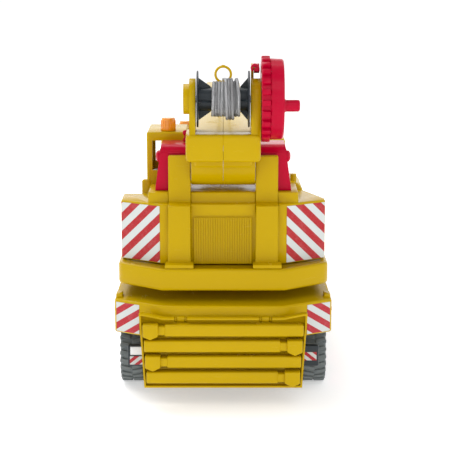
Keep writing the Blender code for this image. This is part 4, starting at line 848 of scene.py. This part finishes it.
def beacon(node):
    """A ribbed amber dome on a low foot."""
    low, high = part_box(node)
    base = Vector(((low.x + high.x) / 2, (low.y + high.y) / 2, low.z))
    height, radius = high.z - low.z, (high.x - low.x) / 2
    profile = [
        (0, height), (radius * 0.80, height), (radius * 0.85, height - 0.0004),
        (radius * 0.87, height - 0.0011), (radius * 0.93, 0.0022), (radius, 0.0020),
        (radius, 0.0003), (radius * 0.97, 0), (0, 0),
    ]
    dome = turned(profile, base, "Z", 48)
    ribs = []
    for i in range(BEACON_RIBS):
        rib = block((radius * 0.80, -0.0003, 0.0020), (radius * 0.955, 0.0003, height - 0.0022), 0.00015, 1)
        spin = Matrix.Translation(base) @ Matrix.Rotation(math.tau * i / BEACON_RIBS, 4, "Z")
        ribs.append(placed(rib, spin))
    piece("fine_" + node, joined(dome, *ribs), amber.material, node, (node,))


for side_name in ("left", "right"):
    beacon(f"cab_beacon_{side_name}")

# ---------------------------------------------------------------- stowed legs
# A shallow rack hangs on two barrels behind the body. Four outrigger legs lie in it, each a beam
# with a pointed foot, turned end for end.

remade("stow_rack", yellow, 0.0004)
FOOT_LENGTH, NECK_LENGTH, BEAM_HALF, NECK_HALF = 0.0128, 0.0060, 0.0049, 0.0036
FOOT_DROP = 0.0074
for leg, side in ((1, -1), (2, 1), (3, -1), (4, 1)):
    node = f"outrigger_leg_{leg}"
    low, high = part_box(node)
    heart, tip, throat = low.z + FOOT_DROP, high.x - FOOT_LENGTH, high.x - FOOT_LENGTH - NECK_LENGTH
    foot = [(high.x, high.z), (high.x, heart - 0.0045), ((high.x + tip) / 2, low.z)]
    foot += [(tip, heart - 0.0042), (tip, high.z)]
    foot = [Vector((side * x, high.y, z)) for x, z in foot]
    foot = flat(foot if side < 0 else foot[::-1], high.y - low.y, 0.0009, 3)
    neck = block(
        (side * (tip + 0.001), low.y + 0.0022, heart - NECK_HALF),
        (side * throat, high.y - 0.0004, heart + NECK_HALF), 0.0012, 3,
    )
    beam = block(
        (side * (throat + 0.0008), low.y + 0.0025, heart - BEAM_HALF),
        (-side * high.x, high.y, heart + BEAM_HALF), 0.0014, 3,
    )
    piece("fine_" + node, joined(foot, neck, beam), yellow, node, (node,))

# ---------------------------------------------------------------- turntable
# A broad yellow tray that turns on a spigot, with a low lip round its top.

LIP_WIDTH, LIP_STEP, LIP_DROP = 0.0022, 0.0005, 0.0003
turntable = whole("turntable_deck")
turn_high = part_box("turntable_deck")[1]
upward = [face for face in turntable.faces if face.normal.z > 0.999]
tops = [face for face in upward if face.calc_center_median().z > turn_high.z - 0.0001]
bmesh.ops.inset_region(turntable, faces=tops, thickness=LIP_WIDTH, depth=0.0)
tops = [face for face in tops if face.is_valid]
bmesh.ops.inset_region(turntable, faces=tops, thickness=LIP_STEP, depth=-LIP_DROP)
piece("fine_turntable_deck", turntable, yellow, "turntable_deck", ("turntable_deck",))

# ---------------------------------------------------------------- counterweight housing
# The deep yellow box at the turntable's tail. Its chamfered corners carry striped warning films, and
# a ribbed panel closes its back between the pillars.

remade("counterweight_housing", yellow, 0.0009)
remade("grille_panel", yellow, smooth=20)
house_low, house_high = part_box("counterweight_housing")
HOUSE_FLAT = 0.0527
DEEP_RED, COOL_WHITE = colour(172, 0, 16), colour(204, 209, 207)
house_rear = house_low.y
house_corner = house_rear + 0.022
FILM_FOOT, FILM_HEAD = turn_high.z + 0.0016, turn_high.z + 0.0502
for side_name, side, start in (("left", -1, -0.0002), ("right", 1, 0.0055)):
    film = stripes(f"upper_stripes_{side_name}", DEEP_RED, COOL_WHITE, -side * 1.05, 0.0160, start)
    corners = []
    for share, z in ((0.03, FILM_FOOT), (0.985, FILM_FOOT), (0.985, FILM_HEAD), (0.03, FILM_HEAD)):
        x = HOUSE_FLAT + (house_high.x - HOUSE_FLAT) * share
        corners.append(Vector((side * x, house_rear + (house_corner - house_rear) * share - 0.0001, z)))
    label = flat(corners if side > 0 else corners[::-1], LABEL, 0.0001, 1)
    piece(f"upper_striped_label_{side_name}", label, film, "counterweight_housing")

# ---------------------------------------------------------------- pillars and pivot covers
# Two yellow uprights with spread feet hold the boom's heel. In front of them stand the crimson covers
# that carry the pivot pin, with rolled tops and a small locking lever on the left one.

COVER_LEAN, COVER_ROLL, ROLL_STEPS, LIP_END = 0.0053, 0.0090, 8, 0.0468
pin_line = middle("boom_pivot_pin")
for side_name, side in (("left", -1), ("right", 1)):
    remade(f"pillar_{side_name}", yellow, 0.0007)
    node = f"pivot_cover_{side_name}"
    low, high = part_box(node)
    inner = min(abs(low.x), abs(high.x))
    foot = max(abs(low.x), abs(high.x))
    top, roll = foot - COVER_LEAN, COVER_ROLL
    arch = []
    for i in range(ROLL_STEPS + 1):
        angle = math.radians(90 + 90 * (1 - i / ROLL_STEPS))
        arch.append((low.y + roll + roll * math.cos(angle), high.z - roll + roll * math.sin(angle)))
    side_view = [(low.y, low.z), *arch, (high.y - 0.004, high.z), (high.y, high.z - 0.004), (high.y, low.z)]
    cover = flat([(side * inner, y, z) for y, z in side_view], 0.001)
    for vert in cover.verts:
        far = abs(abs(vert.co.x) - inner) > 0.0001
        share = (vert.co.z - low.z) / (high.z - low.z)
        vert.co.x = side * (foot + (top - foot) * share if far else inner)
    bmesh.ops.recalc_face_normals(cover, faces=cover.faces)
    soften(cover, 0.0012, 3, 40)
    pillar_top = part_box(f"pillar_{side_name}")[1].z
    lip = block(
        (side * (inner + 0.0002), low.y - 0.0009, pillar_top + 0.0012),
        (side * LIP_END, low.y + 0.0040, pillar_top + 0.0020), 0.0003,
    )
    boss = turned(
        [
            (0, foot - 0.0006), (0.0030, foot - 0.0008), (0.0048, foot - 0.0022),
            (0.0052, top - 0.0010), (0, top - 0.001),
        ],
        Vector((0, pin_line.y, pin_line.z)), "X" if side > 0 else "-X", 40,
    )
    piece("fine_" + node, joined(cover, boss, lip), crimson, node, (node,))
remade("boom_pivot_pin", charcoal)
remade("release_lever", crimson)

# ---------------------------------------------------------------- operator's cab
# A boxy yellow cab with open window frames, a narrow door, a charcoal seat and an amber beacon.

remade("operator_cab", yellow, 0.0007)
op_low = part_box("operator_cab")[0]
SEAT_LEFT, SEAT_RIGHT = -0.063, -0.040
cushion = block(
    (SEAT_LEFT, op_low.y + 0.014, turn_high.z + 0.0046),
    (SEAT_RIGHT, op_low.y + 0.038, turn_high.z + 0.030), 0.003, 3,
)
backrest = block(
    (SEAT_LEFT, op_low.y + 0.008, turn_high.z + 0.026),
    (SEAT_RIGHT, op_low.y + 0.016, turn_high.z + 0.072), 0.003, 3,
)
seat = joined(cushion, backrest)
piece("operator_seat", seat, charcoal, "operator_cab")
remade("operator_door", yellow, 0.0005)
beacon("operator_beacon")

# ---------------------------------------------------------------- hydraulic tank
# A round yellow tank on a saddle, with a flange round its end and a grooved filler cap.

remade("hydraulic_tank", yellow, 0.0004)

# ---------------------------------------------------------------- boom
# Two yellow halves closed on each other down the middle: box section, end block, round heel and winch
# cheeks. The inner stage slides in it, with the guide ring and the head sheave at its nose.

for side_name in ("left", "right"):
    remade(f"boom_shell_{side_name}", yellow, 0.0006)
remade("boom_inner", yellow, 0.0006)
RING_WIRE, RING_STEPS = 0.0015, 12
ring_low, ring_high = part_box("guide_ring")
ring_radius = (ring_high.x - ring_low.x) / 2 - 0.0014
ring_profile = []
for i in range(RING_STEPS):
    angle = math.tau * i / RING_STEPS
    ring_profile.append((ring_radius + RING_WIRE * math.cos(angle), RING_WIRE * math.sin(angle)))
ring_lump = block(
    (-0.0020, ring_low.y, ring_high.z - 0.0014), (0.0020, ring_high.y, ring_high.z + 0.0006), 0.0007, 3
)
ring_foot = block(
    (-0.0050, ring_low.y - 0.001, ring_low.z), (0.0050, ring_high.y + 0.001, ring_low.z + 0.0022), 0.0006
)
piece(
    "fine_guide_ring", joined(turned(ring_profile, ring_centre, "Y", 64), ring_lump, ring_foot), yellow,
    "guide_ring", ("guide_ring",),
)
remade("sheave_pin", steel.material)
remade("head_sheave", charcoal, 0.0003)

# ---------------------------------------------------------------- winch
# A charcoal drum with thin flanges and bracing webs turns between the cheeks with the crimson crank
# wheel. A curled crimson pawl drops beside the wheel's teeth.

drum_low, drum_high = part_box("winch_drum")
flange, half = (drum_high.z - drum_low.z) / 2, drum_high.x
THIN, CORE, BORE = 0.0014, 0.0097, 0.0033
WEB_HALF, WEB_TOP = 0.0006, 0.0176
WEBS = 4
drum = turned(
    [
        (flange, half - 0.0003), (flange, half - THIN + 0.0002), (flange - 0.0005, half - THIN),
        (CORE, half - THIN - 0.0004), (CORE, -half + THIN + 0.0004),
        (flange - 0.0005, -half + THIN), (flange, -half + THIN - 0.0002), (flange, -half + 0.0003),
        (flange - 0.0004, -half), (BORE, -half), (BORE, half), (flange - 0.0004, half),
    ],
    drum_centre, "X", 96,
)
bmesh.ops.translate(drum, verts=drum.verts, vec=(-drum_centre.x, 0, 0))
webs = []
for side, reach in ((-1, -winding_low.x + 0.0002), (1, winding_high.x + 0.0002)):
    for i in range(WEBS):
        outline = [(half - THIN, CORE - 0.001), (reach, CORE - 0.001)]
        outline += [(reach, CORE + 0.0008), (half - THIN, WEB_TOP)]
        web = flat([(side * x, -WEB_HALF, r) for x, r in outline], 2 * WEB_HALF, 0.0002, 1)
        placed(web, about_x((0, drum_centre.y, drum_centre.z), math.tau * i / WEBS))
        bmesh.ops.recalc_face_normals(web, faces=web.faces)
        webs.append(web)
drum_grey = moulded("drum_plastic", colour(44, 52, 58), colour(34, 41, 46), 0.33)
piece("fine_winch_drum", joined(drum, *webs), drum_grey, "winch_drum", ("winch_drum",))
remade("winch_axle", steel.material)

wheel_low, wheel_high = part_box("crank_wheel")
wheel_radius = (wheel_high.z - wheel_low.z) / 2
wheel_centre = Vector((0, (wheel_low.y + wheel_high.y) / 2, drum_centre.z))
GEAR_WIDTH, WHEEL_WIDTH, RIM_DROP = 0.0074, 0.0183, 0.0021
gear_face, rim_face = wheel_low.x + GEAR_WIDTH, wheel_low.x + WHEEL_WIDTH
peg_end = wheel_high.x
TEETH, TOOTH, TOOTH_HALF = 24, 0.0030, 0.0023
SPOKES, SPOKE_HALF = 6, 0.0010
PEG_RADIUS, PEG_PLACE = 0.0048, Vector((0, -0.025, -0.003))
root = wheel_radius - TOOTH
gear = turned(
    [
        (root, wheel_low.x + 0.0005), (root, gear_face - 0.0005), (root - 0.0005, gear_face),
        (BORE, gear_face), (BORE, wheel_low.x), (root - 0.0005, wheel_low.x),
    ],
    wheel_centre, "X", 96,
)
teeth = []
for i in range(TEETH):
    tooth = block(
        (wheel_low.x + 0.0003, -TOOTH_HALF, root - 0.002),
        (gear_face - 0.0003, TOOTH_HALF, wheel_radius), 0.0006,
    )
    teeth.append(placed(tooth, about_x(wheel_centre, math.tau * i / TEETH)))
rim_radius = wheel_radius - RIM_DROP
rim = turned(
    [
        (rim_radius - 0.0006, gear_face - 0.0002), (rim_radius, gear_face + 0.0006),
        (rim_radius - 0.0004, rim_face - 0.0012), (rim_radius - 0.0014, rim_face),
        (rim_radius - 0.0026, rim_face), (rim_radius - 0.0034, rim_face - 0.0010),
        (rim_radius - 0.0040, gear_face + 0.0016), (0.0090, gear_face + 0.0012),
        (0.0080, rim_face - 0.0046), (0.0070, rim_face - 0.0040),
        (0, rim_face - 0.0040), (0, gear_face - 0.0002),
    ],
    wheel_centre, "X", 96,
)
spokes = []
for i in range(SPOKES):
    spoke = block(
        (gear_face + 0.0006, -SPOKE_HALF, 0.0070),
        (rim_face - 0.0040, SPOKE_HALF, rim_radius - 0.0030), 0.0005,
    )
    spokes.append(placed(spoke, about_x(wheel_centre, math.tau * (i + 0.5) / SPOKES)))
peg = turned(
    [
        (0, peg_end), (PEG_RADIUS - 0.0014, peg_end), (PEG_RADIUS - 0.0004, peg_end - 0.0005),
        (PEG_RADIUS, peg_end - 0.0015), (PEG_RADIUS, rim_face + 0.0012),
        (PEG_RADIUS + 0.0012, rim_face - 0.0002),
        (PEG_RADIUS + 0.0012, gear_face), (0, gear_face),
    ],
    wheel_centre + PEG_PLACE, "X", 40,
)
piece("fine_crank_wheel", joined(gear, rim, peg, *teeth, *spokes), crimson, "crank_wheel", ("crank_wheel",))
remade("ratchet_pawl", crimson, 0.0005)

# ---------------------------------------------------------------- hook
# A weighted crimson block with a plain cast hook under it, hung on the end of the cord.

hook_low, hook_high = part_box("hook_block")
hook_y = (hook_low.y + hook_high.y) / 2
HOOK_BEND, HOOK_WIRE, HOOK_SWEEP, HOOK_STEPS = 0.0080, 0.0019, 290, 32
HOOK_SHANK, WEIGHT_HALF = 0.0055, 0.008
bend_z = hook_low.z + HOOK_BEND + HOOK_WIRE
block_foot = bend_z + HOOK_BEND + HOOK_SHANK
hook_line = [Vector((0, hook_y, block_foot + 0.003)), Vector((0, hook_y, block_foot - 0.003))]
for i in range(HOOK_STEPS + 1):
    angle = math.radians(90 - HOOK_SWEEP * i / HOOK_STEPS)
    hook_line.append(Vector((HOOK_BEND * math.cos(angle), hook_y, bend_z + HOOK_BEND * math.sin(angle))))
weight_low, weight_high = (-WEIGHT_HALF, hook_low.y, block_foot), (WEIGHT_HALF, hook_high.y, hook_high.z)
weight = block(weight_low, weight_high, 0.003, 5)
piece("fine_hook_block", joined(weight, tube(hook_line, HOOK_WIRE)), crimson, "hook_block", ("hook_block",))
